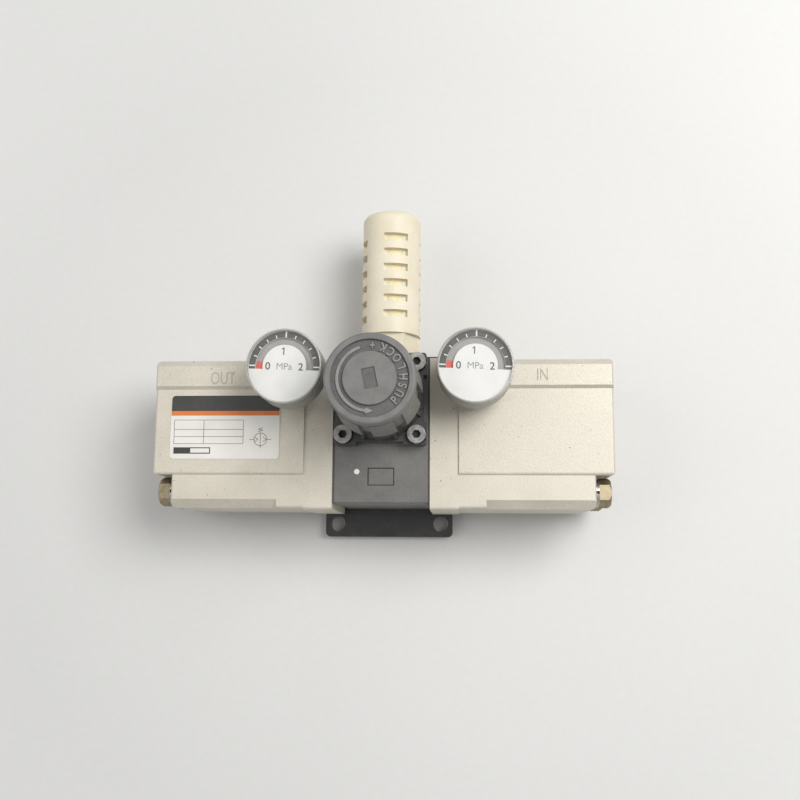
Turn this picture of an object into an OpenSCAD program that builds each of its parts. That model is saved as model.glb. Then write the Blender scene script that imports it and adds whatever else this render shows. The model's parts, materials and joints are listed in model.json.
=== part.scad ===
// Air pressure booster: a twin-piston air pump with a hand-set regulator, two gauges and a silencer.
// The base plate's underside is z = 0, the knob points up (+Z), the IN side is +X and the silencer
// points to +Y. All lengths are millimetres.

/* [Base plate] */
// Width of the base plate, along the body
plate_w = 54; // [50:1:60]
// Length of the base plate, across the body
plate_l = 78; // [76:1:84]
// Thickness of the base plate
plate_t = 6; // [5:0.5:8]
// Corner radius of the base plate
plate_corner_r = 2; // [1:0.5:3]
// Distance of the mounting holes from the plate's side edges
mount_edge_x = 5; // [4.5:0.5:6]
// Distance of the mounting holes from the plate's near and far edges
mount_edge_y = 5.5; // [5:0.5:6]
// Diameter of the mounting holes
mount_hole_d = 6.5; // [5.5:0.1:7]

/* [Centre block] */
// How far the block stands out on each side of the bonnet flange
block_side = 0.3; // [0.1:0.1:1]
// Height of the centre block above the base plate
block_h = 43.5; // [43:0.5:46]
// How far the block's near face lies behind the covers' flanges
block_near_in = 2.3; // [0.5:0.1:2.6]
// How far the block's far face stands out from the covers' flanges
block_far_out = 0.7; // [0.3:0.1:2]
// Chamfer along the near upper edge of the block
block_chamfer = 0.6; // [0.3:0.1:1.5]
// Thickness of the gasket on each side of the block
gasket_t = 0.8; // [0.5:0.1:1.2]

/* [Covers] */
// Overall length over both covers
body_len = 178; // [174:1:190]
// Height of the covers
cover_h = 43; // [42:0.5:46]
// Depth of the covers at the flange beside the block
cover_d = 59; // [58:0.5:62]
// Gap between the covers and the base plate
cover_gap = 1; // [0.5:0.1:2]
// Thickness of the flange beside the block
inner_flange_t = 11.2; // [10:0.1:13]
// Width of the lower shelf in front of the raised panel
shelf_w = 12.7; // [12.2:0.1:13]
// How far the raised panel's far face lies inside the flange
panel_far_in = 0.9; // [0.3:0.1:1.5]
// How far the lower shelf's near face lies inside the flange
shelf_near_in = 0.5; // [0.2:0.1:1.1]
// Length of the notch left for the bolt heads
notch_len = 7.2; // [6.6:0.1:8]
// Height of the panel above the shelf
panel_rise = 0.9; // [0.5:0.1:1.5]
// Height of the port strip above the panel
strip_rise = 1.3; // [0.6:0.1:2]
// Width of the port strip
strip_w = 11.6; // [11:0.1:12.4]
// Length of the sloping step up to the strip
step_run = 1.2; // [0.4:0.1:1.6]
// Chamfer along the far edge of the strip
far_chamfer = 2.4; // [1:0.1:3]
// Chamfer along the near edge of the shelf
near_chamfer = 3.3; // [1.5:0.1:4]
// Plain length of the shelf beside the flange, before the chamfer starts
shelf_plain = 10.4; // [6:0.1:16]
// Radius of the covers' upright corners
cover_corner_r = 1.6; // [0.8:0.1:2.5]
// Radius of the covers' other cast edges
cast_edge_r = 1.1; // [0.5:0.1:1.2]

/* [Pump] */
// Diameter of the two cylinder bores
bore_d = 30; // [29:0.2:30.4]
// Distance of the bores' axis from the knob's axis
bore_offset = 11; // [10.8:0.1:11.4]
// Thickness of the covers' end walls
end_wall = 7.5; // [7.4:0.1:8]
// Thickness of a piston
piston_t = 10; // [9:0.5:11]
// Travel of the rod each way from the middle
half_stroke = 21.5; // [18:0.1:21.5]
// Diameter of the piston rod
rod_d = 10; // [9:0.2:10.4]
// Width of a piston seal
piston_seal_w = 4; // [3:0.1:5]
// Depth of a piston seal's groove
piston_seal_depth = 2.6; // [2:0.1:3.2]
// Diameter of the threaded rod ends
rod_end_d = 6; // [5:0.2:6.6]
// Width across the flats of the rod nuts
rod_nut_af = 10; // [9:0.5:12]
// Height of a rod nut
rod_nut_h = 4.5; // [4:0.1:5]

/* [Changeover valve] */
// Distance of the spool's axis below the rod
spool_drop = 12; // [11.7:0.1:12.6]
// Diameter of the spool's bore
spool_bore_d = 8.4; // [7.6:0.1:8.6]
// Diameter of the trip pins
trip_pin_d = 4; // [3.4:0.1:4.2]
// Travel of the spool each way from the middle
spool_travel = 1.5; // [1:0.1:1.5]
// Length of a guide bush
guide_bush_l = 5.3; // [4.5:0.1:6]
// How far a trip pin stands out of the gasket with the spool centred
trip_reach = 0.4; // [0.2:0.1:0.6]

/* [Check valves] */
// Diameter of the pockets
check_pocket_d = 6.8; // [6.2:0.1:7]
// Depth of the pockets
check_pocket_l = 8; // [7.5:0.1:8.5]
// Sideways distance of the pockets from the rod's axis
check_offset_y = 9.5; // [9.4:0.1:9.8]
// Drop of the pockets below the rod's axis
check_drop = 5.1; // [4.8:0.1:5.3]
// Lift of the poppets
check_lift = 1; // [0.6:0.1:1.2]
// Thickness of the retainers
retainer_t = 2; // [1.6:0.1:2.4]

/* [Regulator] */
// Width of the bonnet flange outside its screws
bonnet_edge = 3.7; // [3.5:0.1:4.2]
// Thickness of the bonnet flange
bonnet_flange_t = 6.5; // [5.5:0.1:8]
// Spacing of the bonnet screws
bonnet_pitch = 28; // [27.4:0.1:30]
// Radius of the dome where it meets the flange
dome_base_r = 16.2; // [15:0.1:16.8]
// Radius of the dome under the knob
dome_top_r = 13; // [12.6:0.1:13.6]
// Height of the dome
dome_h = 14; // [12:0.5:16]
// Radius of the bonnet's neck
neck_r = 12.4; // [12:0.1:12.6]
// Height of the bonnet's neck
neck_h = 14; // [13:0.5:16]
// Radius of the bonnet's spring chamber
chamber_r = 10.5; // [10:0.1:10.8]
// Thickness of the bonnet's top wall
bonnet_top_t = 4; // [3:0.5:5]
// Diameter of the diaphragm
diaphragm_d = 29; // [28:0.1:29.6]
// Thickness of the diaphragm
diaphragm_t = 0.8; // [0.6:0.1:1.2]
// Lift of the regulator's valve
valve_lift = 1; // [0.5:0.1:1.2]
// Thread pitch of the adjusting screw
screw_pitch = 1.25; // [1:0.05:1.5]
// Turns of the knob from end to end
knob_turns = 3; // [2:0.5:3]
// Diameter of the adjusting screw
adjust_d = 8; // [7:0.1:8.4]
// Width across the flats of the screw's drive end
drive_af = 6.6; // [5.6:0.1:6.8]

/* [Knob] */
// Radius of the knob's rim
knob_r = 15.85; // [15.4:0.05:16.4]
// Height of the knob
knob_h = 26; // [24:0.5:28]
// How far the knob's skirt covers the bonnet's neck
knob_cover = 11; // [9:0.5:12]
// Radius of the inside of the rim
rim_in_r = 13.6; // [13:0.1:14]
// Radius of the raised centre disc
disc_r = 9.2; // [8.5:0.1:10]
// Depth of the ring between the rim and the disc
ring_depth = 1.2; // [0.6:0.1:1.6]
// Number of grip pads round the skirt
grip_count = 8; // [6:1:10]
// How far a pad stands out from the rim at its foot
grip_out = 1.1; // [0.6:0.1:1.5]
// Width of the grooves between the pads
groove_w = 4.1; // [3:0.1:5]
// Height of the rim above the pads
rim_h = 5.5; // [4:0.1:8]
// Radius of the rim's upper edge
knob_edge_r = 0.9; // [0.4:0.1:1.2]
// Pull that unlocks the knob
lock_pull = 3; // [2:0.5:4]

/* [Gauges] */
// Distance of the left gauge's axis from its cover's inner face
gauge_left_in = 15.1; // [14.7:0.1:17.2]
// Distance of the right gauge's axis from its cover's inner face
gauge_right_in = 17.3; // [15.2:0.1:19.2]
// How far the gauges' axes lie inside the far face
gauge_set_in = 7.1; // [6.4:0.1:7.4]
// Radius of a gauge
gauge_r = 14; // [13.5:0.1:14.5]
// Height of a gauge's back above the strip
gauge_stand = 8.8; // [8:0.1:11]
// Depth of a gauge from back to face
gauge_depth = 15; // [14:0.1:17]
// Turn of the dials from upright, in degrees
gauge_turn = 2.2; // [0:0.1:5]
// Inner radius of the dial's window
window_in_r = 8.1; // [7.6:0.1:8.6]
// Outer radius of the dial's window
window_out_r = 10.7; // [10.2:0.1:10.9]

/* [Silencer] */
// Outside diameter of the silencer
silencer_d = 24; // [22:0.5:25]
// Distance from the middle to the silencer's tip
silencer_tip = 93.6; // [90:0.1:98]
// Radius of the silencer's rounded tip
tip_r = 3; // [1:0.1:5]
// Length of the silencer's hexagon
silencer_hex_l = 11.8; // [10:0.1:13]
// Height of the silencer's axis
silencer_z = 30; // [29:0.1:31]
// Sideways place of the silencer's axis
silencer_x = 2; // [0:0.1:2.4]
// Number of windows in a row
slot_count = 6; // [4:1:6]
// Spacing of the windows
slot_pitch = 6.45; // [6:0.05:6.6]
// Height of a window along the silencer
slot_h = 2.9; // [2:0.1:3.2]
// Width of a window
slot_w = 9.8; // [8:0.1:10.4]
// Turn of the rows of windows about the axis, in degrees
slot_turn = 13; // [0:0.1:20]
// Wall of the silencer
silencer_wall = 2.4; // [2:0.1:3]

/* [Ports and label] */
// Distance of the air ports from the middle
port_x = 62.5; // [58:0.5:66]
// Diameter of the air ports
port_d = 11.45; // [10:0.05:12]
// Depth of the air ports
port_depth = 10; // [8:0.1:10.2]
// Diameter of the gallery behind the ports
gallery_d = 6; // [5:0.1:6.4]
// Length of the rating label
label_l = 43; // [38:0.5:45]
// Height of the rating label
label_h = 25; // [22:0.5:26]
// Thickness of the rating label
label_t = 0.3; // [0.2:0.05:0.5]

/* [Fits] */
// Clearance of sliding and turning fits, on the radius
run_fit = 0.05; // [0.03:0.01:0.08]
// Clearance of pieces that are pressed or screwed in, on the radius
seat_fit = 0.03; // [0.02:0.01:0.05]
// Clearance of screws in through holes, on the radius
screw_fit = 0.3; // [0.2:0.05:0.35]

/* [Hidden] */
$fn = 72;
cut = 1;
hex_sides = 6;

// Corner radius of a hexagon from its width across the flats
function hex_r(flats) = flats / 2 / cos(180 / hex_sides);

half_len = body_len / 2;
upper_far = cover_d / 2 - panel_far_in;
lower_near = cover_d / 2 - shelf_near_in;
upper_near = lower_near - shelf_w;
block_near = cover_d / 2 - block_near_in;
block_far = cover_d / 2 + block_far_out;
mount_pitch_x = plate_w - 2 * mount_edge_x;
mount_pitch_y = plate_l - 2 * mount_edge_y;
bonnet_w = bonnet_pitch + 2 * bonnet_edge;
block_w = bonnet_w + 2 * block_side;
gauge_y = upper_far - gauge_set_in;
block_z0 = plate_t;
block_z1 = block_z0 + block_h;
cover_z0 = plate_t + cover_gap;
cover_z1 = cover_z0 + cover_h;
panel_z = cover_z1 + panel_rise;
strip_z = panel_z + strip_rise;
strip_near = upper_far - strip_w;
block_x = block_w / 2;
inner_x = block_x + gasket_t;
panel_x = inner_x + inner_flange_t;
gauge_left_x = inner_x + gauge_left_in;
gauge_right_x = inner_x + gauge_right_in;
lower_end = half_len - notch_len;
bore_r = bore_d / 2;
bore_z = cover_z0 + cover_h / 2;
bore_end = half_len - end_wall;

knob_y = block_far - bonnet_w / 2;
bore_y = knob_y - bore_offset;
dome_z = block_z1 + bonnet_flange_t;
neck_z = dome_z + dome_h;
neck_top = neck_z + neck_h;
knob_z = neck_top - knob_cover;

trip_gap = 0.8;
piston_x = inner_x + trip_reach + spool_travel + trip_gap + half_stroke;
rod_r = rod_d / 2;
piston_gap = 0.4;
piston_r = bore_r - piston_gap;
piston_groove_r = piston_r - piston_seal_depth;
piston_seal_x = piston_x + (piston_t - piston_seal_w) / 2;
rod_seal_wall = 1.8;
rod_seal_r = rod_r + rod_seal_wall;
rod_seal_l = 3.5;
rod_nut_x = piston_x + piston_t;
rod_end_proud = 1;
rod_end_x = rod_nut_x + rod_nut_h + rod_end_proud;

spool_z = bore_z - spool_drop;
spool_bore_r = spool_bore_d / 2;
trip_pin_r = trip_pin_d / 2;
bush_x = block_x - guide_bush_l;
stop_gap = 0.2;
spool_land_x = bush_x - spool_travel - stop_gap;
spool_tip_x = inner_x + trip_reach;
spool_waist_r = 2.6;
spool_groove_r = 3.2;
spool_ring_w = 1.6;
spool_land_w = 3.6;

check_z = bore_z - check_drop;
inlet_y = bore_y + check_offset_y;
outlet_y = bore_y - check_offset_y;
check_r = check_pocket_d / 2;
check_floor_x = block_x - check_pocket_l;
retainer_x = block_x - retainer_t;
poppet_flow_gap = 0.5;
poppet_r = check_r - poppet_flow_gap;
poppet_t = 2;
poppet_stem_r = 1.2;
poppet_gap = 0.2;
check_bore_r = 1.8;
check_guide_l = 3;
check_wire_r = 0.3;
coil_turns = 4;
coil_steps = 10;
coil_sides = 5;
check_flow_r = 0.55;
check_flow_ring = (poppet_stem_r + check_r) / 2;

bolt_r = 3;
bolt_in = 0.25;
bolt_y = bolt_in - (upper_near + lower_near) / 2;
bolt_top_drop = 10;
bolt_foot_rise = 9;
bolt_zs = [cover_z1 - bolt_top_drop, cover_z0 + bolt_foot_rise];
bolt_af = 10;
bolt_head_h = 4.6;
bolt_face_r = bolt_af / 2;
bolt_cone_out = 3.5;
bolt_cone_r = bolt_face_r + bolt_cone_out;
washer_t = 1.8;
washer_r = 5.4;
bolt_grip = 12;
cap_r = 2.5;
cap_head_r = 4.25;
cap_head_h = 5;
cap_sink = 6;
cap_upper_set_in = 8.5;
cap_upper_y = gauge_y - cap_upper_set_in;
cap_upper_drop = 6.3;
cap_lower_set_in = 6.6;
cap_lower_y = upper_far - cap_lower_set_in;
cap_lower_rise = 5.5;
cap_places = [[cap_upper_y, panel_z - cap_upper_drop], [cap_lower_y, cover_z0 + cap_lower_rise]];
cap_socket_r = 2.3;
cap_socket_depth = 2.75;
cap_grip = 6;

gauge_port_r = 4.29;
gauge_port_depth = 10;
gauge_duct_r = 1.6;
gallery_set_in = 5.3;
gallery_y = upper_far - gallery_set_in;
gallery_in = 8;

valve_well_r = 4.5;
valve_seat_depth = 6;
valve_seat_z = block_z1 - valve_seat_depth;
valve_chamber_r = 11;
valve_chamber_depth = 3.5;
valve_hole_r = 2.2;
valve_room = 9.5;
guide_top_z = valve_seat_z - valve_room;
guide_r = valve_well_r - seat_fit;
poppet_head_r = 3.4;
poppet_head_t = 2.8;
poppet_foot_r = 2;
poppet_pin_r = 1.2;
foot_depth = 4;
foot_gap = 0.3;
push_stem_clear = 0.5;
valve_wire_r = 0.4;
valve_coil_in = 0.5;
valve_coil_r = poppet_head_r - valve_coil_in;

bonnet_screw_r = 2;
bonnet_head_r = 3.5;
bonnet_head_h = 4;
bonnet_hex_af = 3;
seat_depth = 1.5;
bonnet_grip = 9;
bonnet_socket_depth = 2;
bonnet_corner_r = 1.2;
set_back = 1.2;
set_back_w = 18;
rib_count = 8;
rib_w = 1.4;
rib_reach = 1.1;
rib_root = 1;
rib_h = 12.6;
rib_top_out = 0.1;

nut_t = 5;
nut_start = 10;
nut_z = neck_top - bonnet_top_t - nut_start;
nut_gap = 0.6;
nut_r = chamber_r - nut_gap;
key_w = 4;
key_out = 1;
key_gap = 0.1;
key_slot_rise = 10;
collar_t = 2;
collar_r = 6.5;
thrust_t = 0.8;
collar_z = neck_top - bonnet_top_t - thrust_t - collar_t;
nut_travel = screw_pitch * knob_turns;
screw_foot_l = 4.25;
screw_foot_z = nut_z - nut_travel - screw_foot_l;
drive_grip = 5.5;
drive_l = lock_pull + drive_grip;
drive_r = hex_r(drive_af);
spring_plate_gap = 0.9;
spring_plate_r = chamber_r - spring_plate_gap;
spring_plate_t = 2;
push_stem_r = 1.5;
adjust_wire_r = 1.1;
coil_set_in = 1;
adjust_turns = 5;
adjust_steps = 14;
adjust_sides = 6;
adjust_coil_r = spring_plate_r - adjust_wire_r - coil_set_in;

skirt_gap = 0.8;
skirt_in_r = neck_r + skirt_gap;
hub_r = 8;
hub_gap = 0.6;
hub_z = knob_cover + hub_gap;
cap_t = 6;
ring_slope = 0.3;
skirt_set_in = 0.6;
skirt_r = knob_r - skirt_set_in;
rim_z = knob_h - rim_h;
rim_slope = 0.8;
grip_root = 1;
grip_taper = 0.9;
grip_turn = 13;
knob_mark = [4.6, 7.2];
knob_mark_depth = 0.5;
knob_mark_turn = 12;

gauge_back_z = strip_z + gauge_stand;
gauge_face_z = gauge_back_z + gauge_depth;
lens_wall = 0.5;
lens_t = 1;
lens_h = 4.2;
lens_edge = 0.6;
lens_z = gauge_face_z - lens_h;
ring_t = 0.8;
ring_set_in = 0.35;
case_top_z = lens_z - ring_t;
sleeve_gap = 0.4;
sleeve_r = gauge_r - lens_wall - sleeve_gap;
sleeve_wall = 1.2;
dial_t = 0.6;
dial_drop = 1.4;
dial_z = gauge_face_z - lens_t - dial_drop;
dial_gap = 0.1;
dial_r = gauge_r - lens_wall - dial_gap;
window_drop = 1.2;
pointer_t = 0.6;
pointer_drop = 0.5;
pointer_gap = 0.4;
arbor_foot = 1;
arbor_r = 0.8;
stem_r = 4;
stem_hex_af = 10;
stem_hex_h = 5;
stem_in = 6;
stem_top_z = gauge_back_z + stem_in;
case_floor = 2;
case_edge = 1;

silencer_r = silencer_d / 2;
hex_set_in = 0.5;
silencer_hex_r = silencer_r - hex_set_in;
silencer_step_y = block_far + silencer_hex_l;
spigot_r = port_d / 2 - run_fit;
spigot_l = 10;
spigot_bore_r = 3.5;
silencer_in_r = silencer_r - silencer_wall;
element_gap = 0.15;
element_r = silencer_in_r - element_gap;
element_sink = 2;
element_y0 = silencer_step_y - element_sink;
tip_wall = 3;
element_y1 = silencer_tip - tip_wall;
element_in_r = 5.5;
slot_first = 11.5;
slot_rows = 4;
slot_stagger = 0.25;

block_corner_r = 0.8;
mark_box = [10.3, 6.9];
mark_box_y = -16.9;
mark_box_depth = 0.4;
plate_screw_r = 2.5;
plate_screw_head_r = 4.3;
plate_screw_head_h = 3;
plate_screw_gap = 0.5;
plate_screw_x = block_x - cap_grip - plate_screw_r - plate_screw_gap;
plate_screw_y = 19;
plate_screw_places = [for (x = [-1, 1], y = [-1, 1]) [x * plate_screw_x, y * plate_screw_y]];
plate_screw_grip = 6;
plate_socket_r = 1.75;
plate_socket_depth = 2.1;
gasket_edge = 0.4;
washer_split = 1.2;
label_x = 61;
label_gap = 2.3;
label_y = strip_near - label_gap - label_h / 2;
label_corner_r = 1.5;

silver_paint = "#cfc8b8";
black_paint = "#2e2e30";
black_plastic = "#3a3a3c";
steel = "#a8a8a4";
zinc_yellow = "#b9a67a";
rubber = "#1e1e1e";
brass = "#b89a54";
ivory = "#efe6cc";

// A cylinder along X, from x0 to x1
module xcyl(r, x0, x1, y, z, sides = $fn) {
  translate([x0, y, z]) rotate([0, 90, 0]) cylinder(r = r, h = x1 - x0, $fn = sides);
}

// A cylinder along Y, from y0 to y1
module ycyl(r, y0, y1, x, z, sides = $fn) {
  translate([x, y1, z]) rotate([90, 0, 0]) cylinder(r = r, h = y1 - y0, $fn = sides);
}

// A cylinder along Z, from z0 to z1
module zcyl(r, z0, z1, x = 0, y = 0, sides = $fn) {
  translate([x, y, z0]) cylinder(r = r, h = z1 - z0, $fn = sides);
}

// A block between two corners
module box(a, b) {
  translate(a) cube(b - a);
}

// A rectangle with round corners
module round_rect(a, b, r) {
  translate([a.x + r, a.y]) square([b.x - a.x - 2 * r, b.y - a.y]);
  translate([a.x, a.y + r]) square([b.x - a.x, b.y - a.y - 2 * r]);
  for (x = [a.x + r, b.x - r], y = [a.y + r, b.y - r]) translate([x, y]) circle(r);
}

// An outline in the YZ plane, carried along X
module along_x(x0, x1) {
  translate([x0, 0, 0]) rotate([90, 0, 90]) linear_extrude(x1 - x0) children();
}

// An outline in the XZ plane, carried along Y
module along_y(y0, y1) {
  translate([0, y1, 0]) rotate([90, 0, 0]) linear_extrude(y1 - y0) children();
}

// The children on the right (+1), or mirrored to the left (-1)
module on_side(side) {
  if (side > 0) children();
  else mirror([1, 0, 0]) children();
}

// A round-wire coil that stands on z = 0
module coil(r, wire_r, height, turns, steps, sides) {
  last = turns * steps;
  rise = (height - 2 * wire_r) / last;
  points = [for (i = [0:last], k = [0:sides - 1])
    let (a = 360 * i / steps, b = 360 * k / sides, reach = r + wire_r * cos(b))
    [reach * cos(a), reach * sin(a), wire_r + i * rise + wire_r * sin(b)]];
  walls = [for (i = [0:last - 1], k = [0:sides - 1])
    let (n = (k + 1) % sides)
    [i * sides + k, i * sides + n, (i + 1) * sides + n, (i + 1) * sides + k]];
  first_end = [for (k = [sides - 1:-1:0]) k];
  last_end = [for (k = [0:sides - 1]) last * sides + k];
  polyhedron(points, concat(walls, [first_end, last_end]), convexity = 8);
}

// Base plate with four mounting holes and four sunk screws from below
module base_plate() {
  color(black_paint) difference() {
    linear_extrude(plate_t)
      round_rect([-plate_w / 2, -plate_l / 2], [plate_w / 2, plate_l / 2], plate_corner_r);
    for (x = [-1, 1], y = [-1, 1])
      zcyl(mount_hole_d / 2, -cut, plate_t + cut, x * mount_pitch_x / 2, y * mount_pitch_y / 2);
    for (p = plate_screw_places) {
      zcyl(plate_screw_r + screw_fit, -cut, plate_t + cut, p.x, p.y);
      zcyl(plate_screw_head_r + screw_fit, -cut, plate_screw_head_h + seat_fit, p.x, p.y);
    }
  }
}

// Flat-head screws that hold the block on the plate
module plate_screws() {
  color(steel) for (p = plate_screw_places) difference() {
    union() {
      zcyl(plate_screw_head_r, seat_fit, plate_screw_head_h + seat_fit, p.x, p.y);
      zcyl(plate_screw_r - seat_fit, plate_screw_head_h, plate_t + plate_screw_grip - cut, p.x, p.y);
    }
    zcyl(plate_socket_r, -cut, plate_socket_depth, p.x, p.y, hex_sides);
  }
}

// Centre block: rod bore, spool bore, check valve pockets and the regulator's well
module centre_block() {
  color(black_paint) difference() {
    intersection() {
      along_x(-block_x, block_x) polygon([
        [-block_near, block_z0], [block_far, block_z0], [block_far, block_z1],
        [block_chamfer - block_near, block_z1], [-block_near, block_z1 - block_chamfer]]);
      linear_extrude(block_z1)
        round_rect([-block_x, -block_near], [block_x, block_far], block_corner_r);
    }
    xcyl(rod_r + run_fit, -block_x - cut, block_x + cut, bore_y, bore_z);
    xcyl(spool_bore_r, -block_x - cut, block_x + cut, bore_y, spool_z);
    for (side = [-1, 1]) on_side(side) block_side_holes();
    block_regulator_holes();
    ycyl(port_d / 2, block_far - spigot_l - cut, block_far + cut, silencer_x, silencer_z);
    for (p = plate_screw_places)
      zcyl(plate_screw_r, block_z0 - cut, block_z0 + plate_screw_grip, p.x, p.y);
    translate([0, mark_box_y, block_z1 - mark_box_depth])
      linear_extrude(mark_box_depth + cut) square(mark_box, center = true);
  }
}

// Holes in one side face of the block
module block_side_holes() {
  xcyl(rod_seal_r, block_x - rod_seal_l, block_x + cut, bore_y, bore_z);
  for (y = [inlet_y, outlet_y]) xcyl(check_r, check_floor_x, block_x + cut, y, check_z);
  xcyl(poppet_stem_r + run_fit, check_floor_x - check_guide_l, block_x, outlet_y, check_z);
  xcyl(gallery_d / 2, block_x - gallery_in, block_x + cut, gallery_y, bore_z);
  for (z = bolt_zs) xcyl(bolt_r, block_x - bolt_grip, block_x + cut, bolt_y, z);
  for (p = cap_places) xcyl(cap_r, block_x - cap_grip, block_x + cut, p.x, p.y);
}

// The regulator's chamber, valve well and screw holes
module block_regulator_holes() {
  translate([0, knob_y, 0]) {
    zcyl(diaphragm_d / 2 + seat_fit, block_z1 - diaphragm_t, block_z1 + cut);
    zcyl(valve_chamber_r, block_z1 - valve_chamber_depth, block_z1 + cut);
    zcyl(valve_hole_r, valve_seat_z - cut, block_z1);
    zcyl(valve_well_r, block_z0 - cut, valve_seat_z);
    for (x = [-1, 1], y = [-1, 1])
      zcyl(bonnet_screw_r, block_z1 - bonnet_grip, block_z1 + cut,
        x * bonnet_pitch / 2, y * bonnet_pitch / 2);
  }
}

// Flat gasket between the block and a cover
module gasket(side) {
  color(rubber) on_side(side) difference() {
    box([block_x, gasket_edge - min(block_near, cover_d / 2), cover_z0 + gasket_edge],
      [inner_x, min(block_far, cover_d / 2) - gasket_edge, min(block_z1, cover_z1) - gasket_edge]);
    xcyl(bore_r, block_x - cut, inner_x + cut, bore_y, bore_z);
    xcyl(gallery_d / 2, block_x - cut, inner_x + cut, gallery_y, bore_z);
    for (z = bolt_zs) xcyl(bolt_r + screw_fit, block_x - cut, inner_x + cut, bolt_y, z);
    for (p = cap_places) xcyl(cap_r + screw_fit, block_x - cut, inner_x + cut, p.x, p.y);
  }
}

// A cast body from x0 to x1: an outline across the body, with round edges where it ends
module cast_body(x0, x1, y0, y1, z1) {
  intersection() {
    along_x(x0, x1) children();
    along_y(y0, y1) round_rect([x0 - cast_edge_r, cover_z0], [x1, z1], cast_edge_r);
    linear_extrude(z1)
      round_rect([x0 - cover_corner_r, y0], [x1, y1], cover_corner_r);
  }
}

// Outside of a cover: flange, raised panel, port strip and the lower shelf
module cover_form() {
  plain_end = panel_x + shelf_plain;
  panel_far = upper_far - far_chamfer;
  along_x(inner_x, panel_x)
    round_rect([-cover_d / 2, cover_z0], [cover_d / 2, cover_z1], cast_edge_r);
  cast_body(panel_x, half_len, -upper_near, panel_far, panel_z)
    round_rect([-upper_near, cover_z0], [panel_far, panel_z], cast_edge_r);
  cast_body(panel_x, half_len, strip_near - cover_corner_r, upper_far, strip_z) polygon([
    [strip_near, cover_z0], [upper_far, cover_z0], [upper_far, strip_z - far_chamfer],
    [panel_far, strip_z], [strip_near + step_run, strip_z], [strip_near, panel_z]]);
  along_x(panel_x, plain_end)
    round_rect([-lower_near, cover_z0], [0, cover_z1], cast_edge_r);
  cast_body(plain_end, lower_end, -lower_near, 0, cover_z1) polygon([
    [-lower_near, cover_z0], [0, cover_z0], [0, cover_z1],
    [near_chamfer - lower_near, cover_z1], [-lower_near, cover_z1 - near_chamfer]]);
}

// One die-cast cover: a cylinder closed at its outer end, with an air port and a gauge port
module cover(side, gauge_x) {
  color(silver_paint) on_side(side) difference() {
    cover_form();
    xcyl(bore_r, inner_x - cut, bore_end, bore_y, bore_z);
    ycyl(port_d / 2, upper_far - port_depth, upper_far + cut, port_x, bore_z);
    xcyl(gallery_d / 2, inner_x - cut, port_x, gallery_y, bore_z);
    zcyl(gauge_port_r, strip_z - gauge_port_depth, strip_z + cut, gauge_x, gauge_y);
    zcyl(gauge_duct_r, bore_z, strip_z, gauge_x, gauge_y);
    for (z = bolt_zs) xcyl(bolt_r + screw_fit, inner_x - cut, lower_end + cut, bolt_y, z);
    for (p = cap_places) {
      xcyl(cap_r + screw_fit, inner_x - cut, half_len, p.x, p.y);
      xcyl(cap_head_r + screw_fit, half_len - cap_sink, half_len + cut, p.x, p.y);
    }
  }
}

// Long hexagon bolts in the notches
module cover_bolts() {
  head_x = lower_end + washer_t;
  color(zinc_yellow) for (side = [-1, 1], z = bolt_zs) on_side(side) {
    xcyl(bolt_r - seat_fit, block_x - bolt_grip + cut, head_x, bolt_y, z);
    intersection() {
      translate([0, bolt_y, z]) rotate([30, 0, 0])
        xcyl(hex_r(bolt_af), head_x, head_x + bolt_head_h, 0, 0, hex_sides);
      translate([head_x, bolt_y, z]) rotate([0, 90, 0])
        cylinder(r1 = bolt_cone_r, r2 = bolt_face_r, h = bolt_head_h);
    }
  }
}

// Spring washers under the hexagon heads, each split at one place
module spring_washers() {
  color(steel) for (side = [-1, 1], z = bolt_zs) on_side(side) difference() {
    xcyl(washer_r, lower_end, lower_end + washer_t, bolt_y, z);
    xcyl(bolt_r + screw_fit, lower_end - cut, lower_end + washer_t + cut, bolt_y, z);
    box([lower_end - cut, bolt_y - washer_split / 2, z],
      [lower_end + washer_t + cut, bolt_y + washer_split / 2, z + washer_r + cut]);
  }
}

// Socket-head screws sunk in the covers' end faces
module cover_screws() {
  head_x = half_len - cap_sink;
  color(steel) for (side = [-1, 1], p = cap_places) on_side(side) difference() {
    union() {
      xcyl(cap_r - seat_fit, block_x - cap_grip + cut, head_x, p.x, p.y);
      xcyl(cap_head_r, head_x, head_x + cap_head_h, p.x, p.y);
    }
    xcyl(cap_socket_r, head_x + cap_head_h - cap_socket_depth, head_x + cap_head_h + cut,
      p.x, p.y, hex_sides);
  }
}

// Piston rod with a shoulder for each piston
module piston_rod() {
  color(steel) {
    xcyl(rod_r, -piston_x, piston_x, bore_y, bore_z);
    for (side = [-1, 1]) on_side(side)
      xcyl(rod_end_d / 2 - seat_fit, piston_x, rod_end_x, bore_y, bore_z);
  }
}

// A piston with one seal groove
module piston(side) {
  color("#c8c8c4") on_side(side) difference() {
    xcyl(piston_r, piston_x, piston_x + piston_t, bore_y, bore_z);
    xcyl(rod_end_d / 2, piston_x - cut, piston_x + piston_t + cut, bore_y, bore_z);
    difference() {
      xcyl(bore_r, piston_seal_x, piston_seal_x + piston_seal_w, bore_y, bore_z);
      xcyl(piston_groove_r, piston_seal_x, piston_seal_x + piston_seal_w, bore_y, bore_z);
    }
  }
}

// Lip seals in the pistons' grooves
module piston_seals() {
  color(rubber) for (side = [-1, 1]) on_side(side) difference() {
    xcyl(bore_r - run_fit, piston_seal_x + seat_fit, piston_seal_x + piston_seal_w - seat_fit,
      bore_y, bore_z);
    xcyl(piston_groove_r + seat_fit, piston_seal_x - cut, piston_seal_x + piston_seal_w + cut,
      bore_y, bore_z);
  }
}

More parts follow.
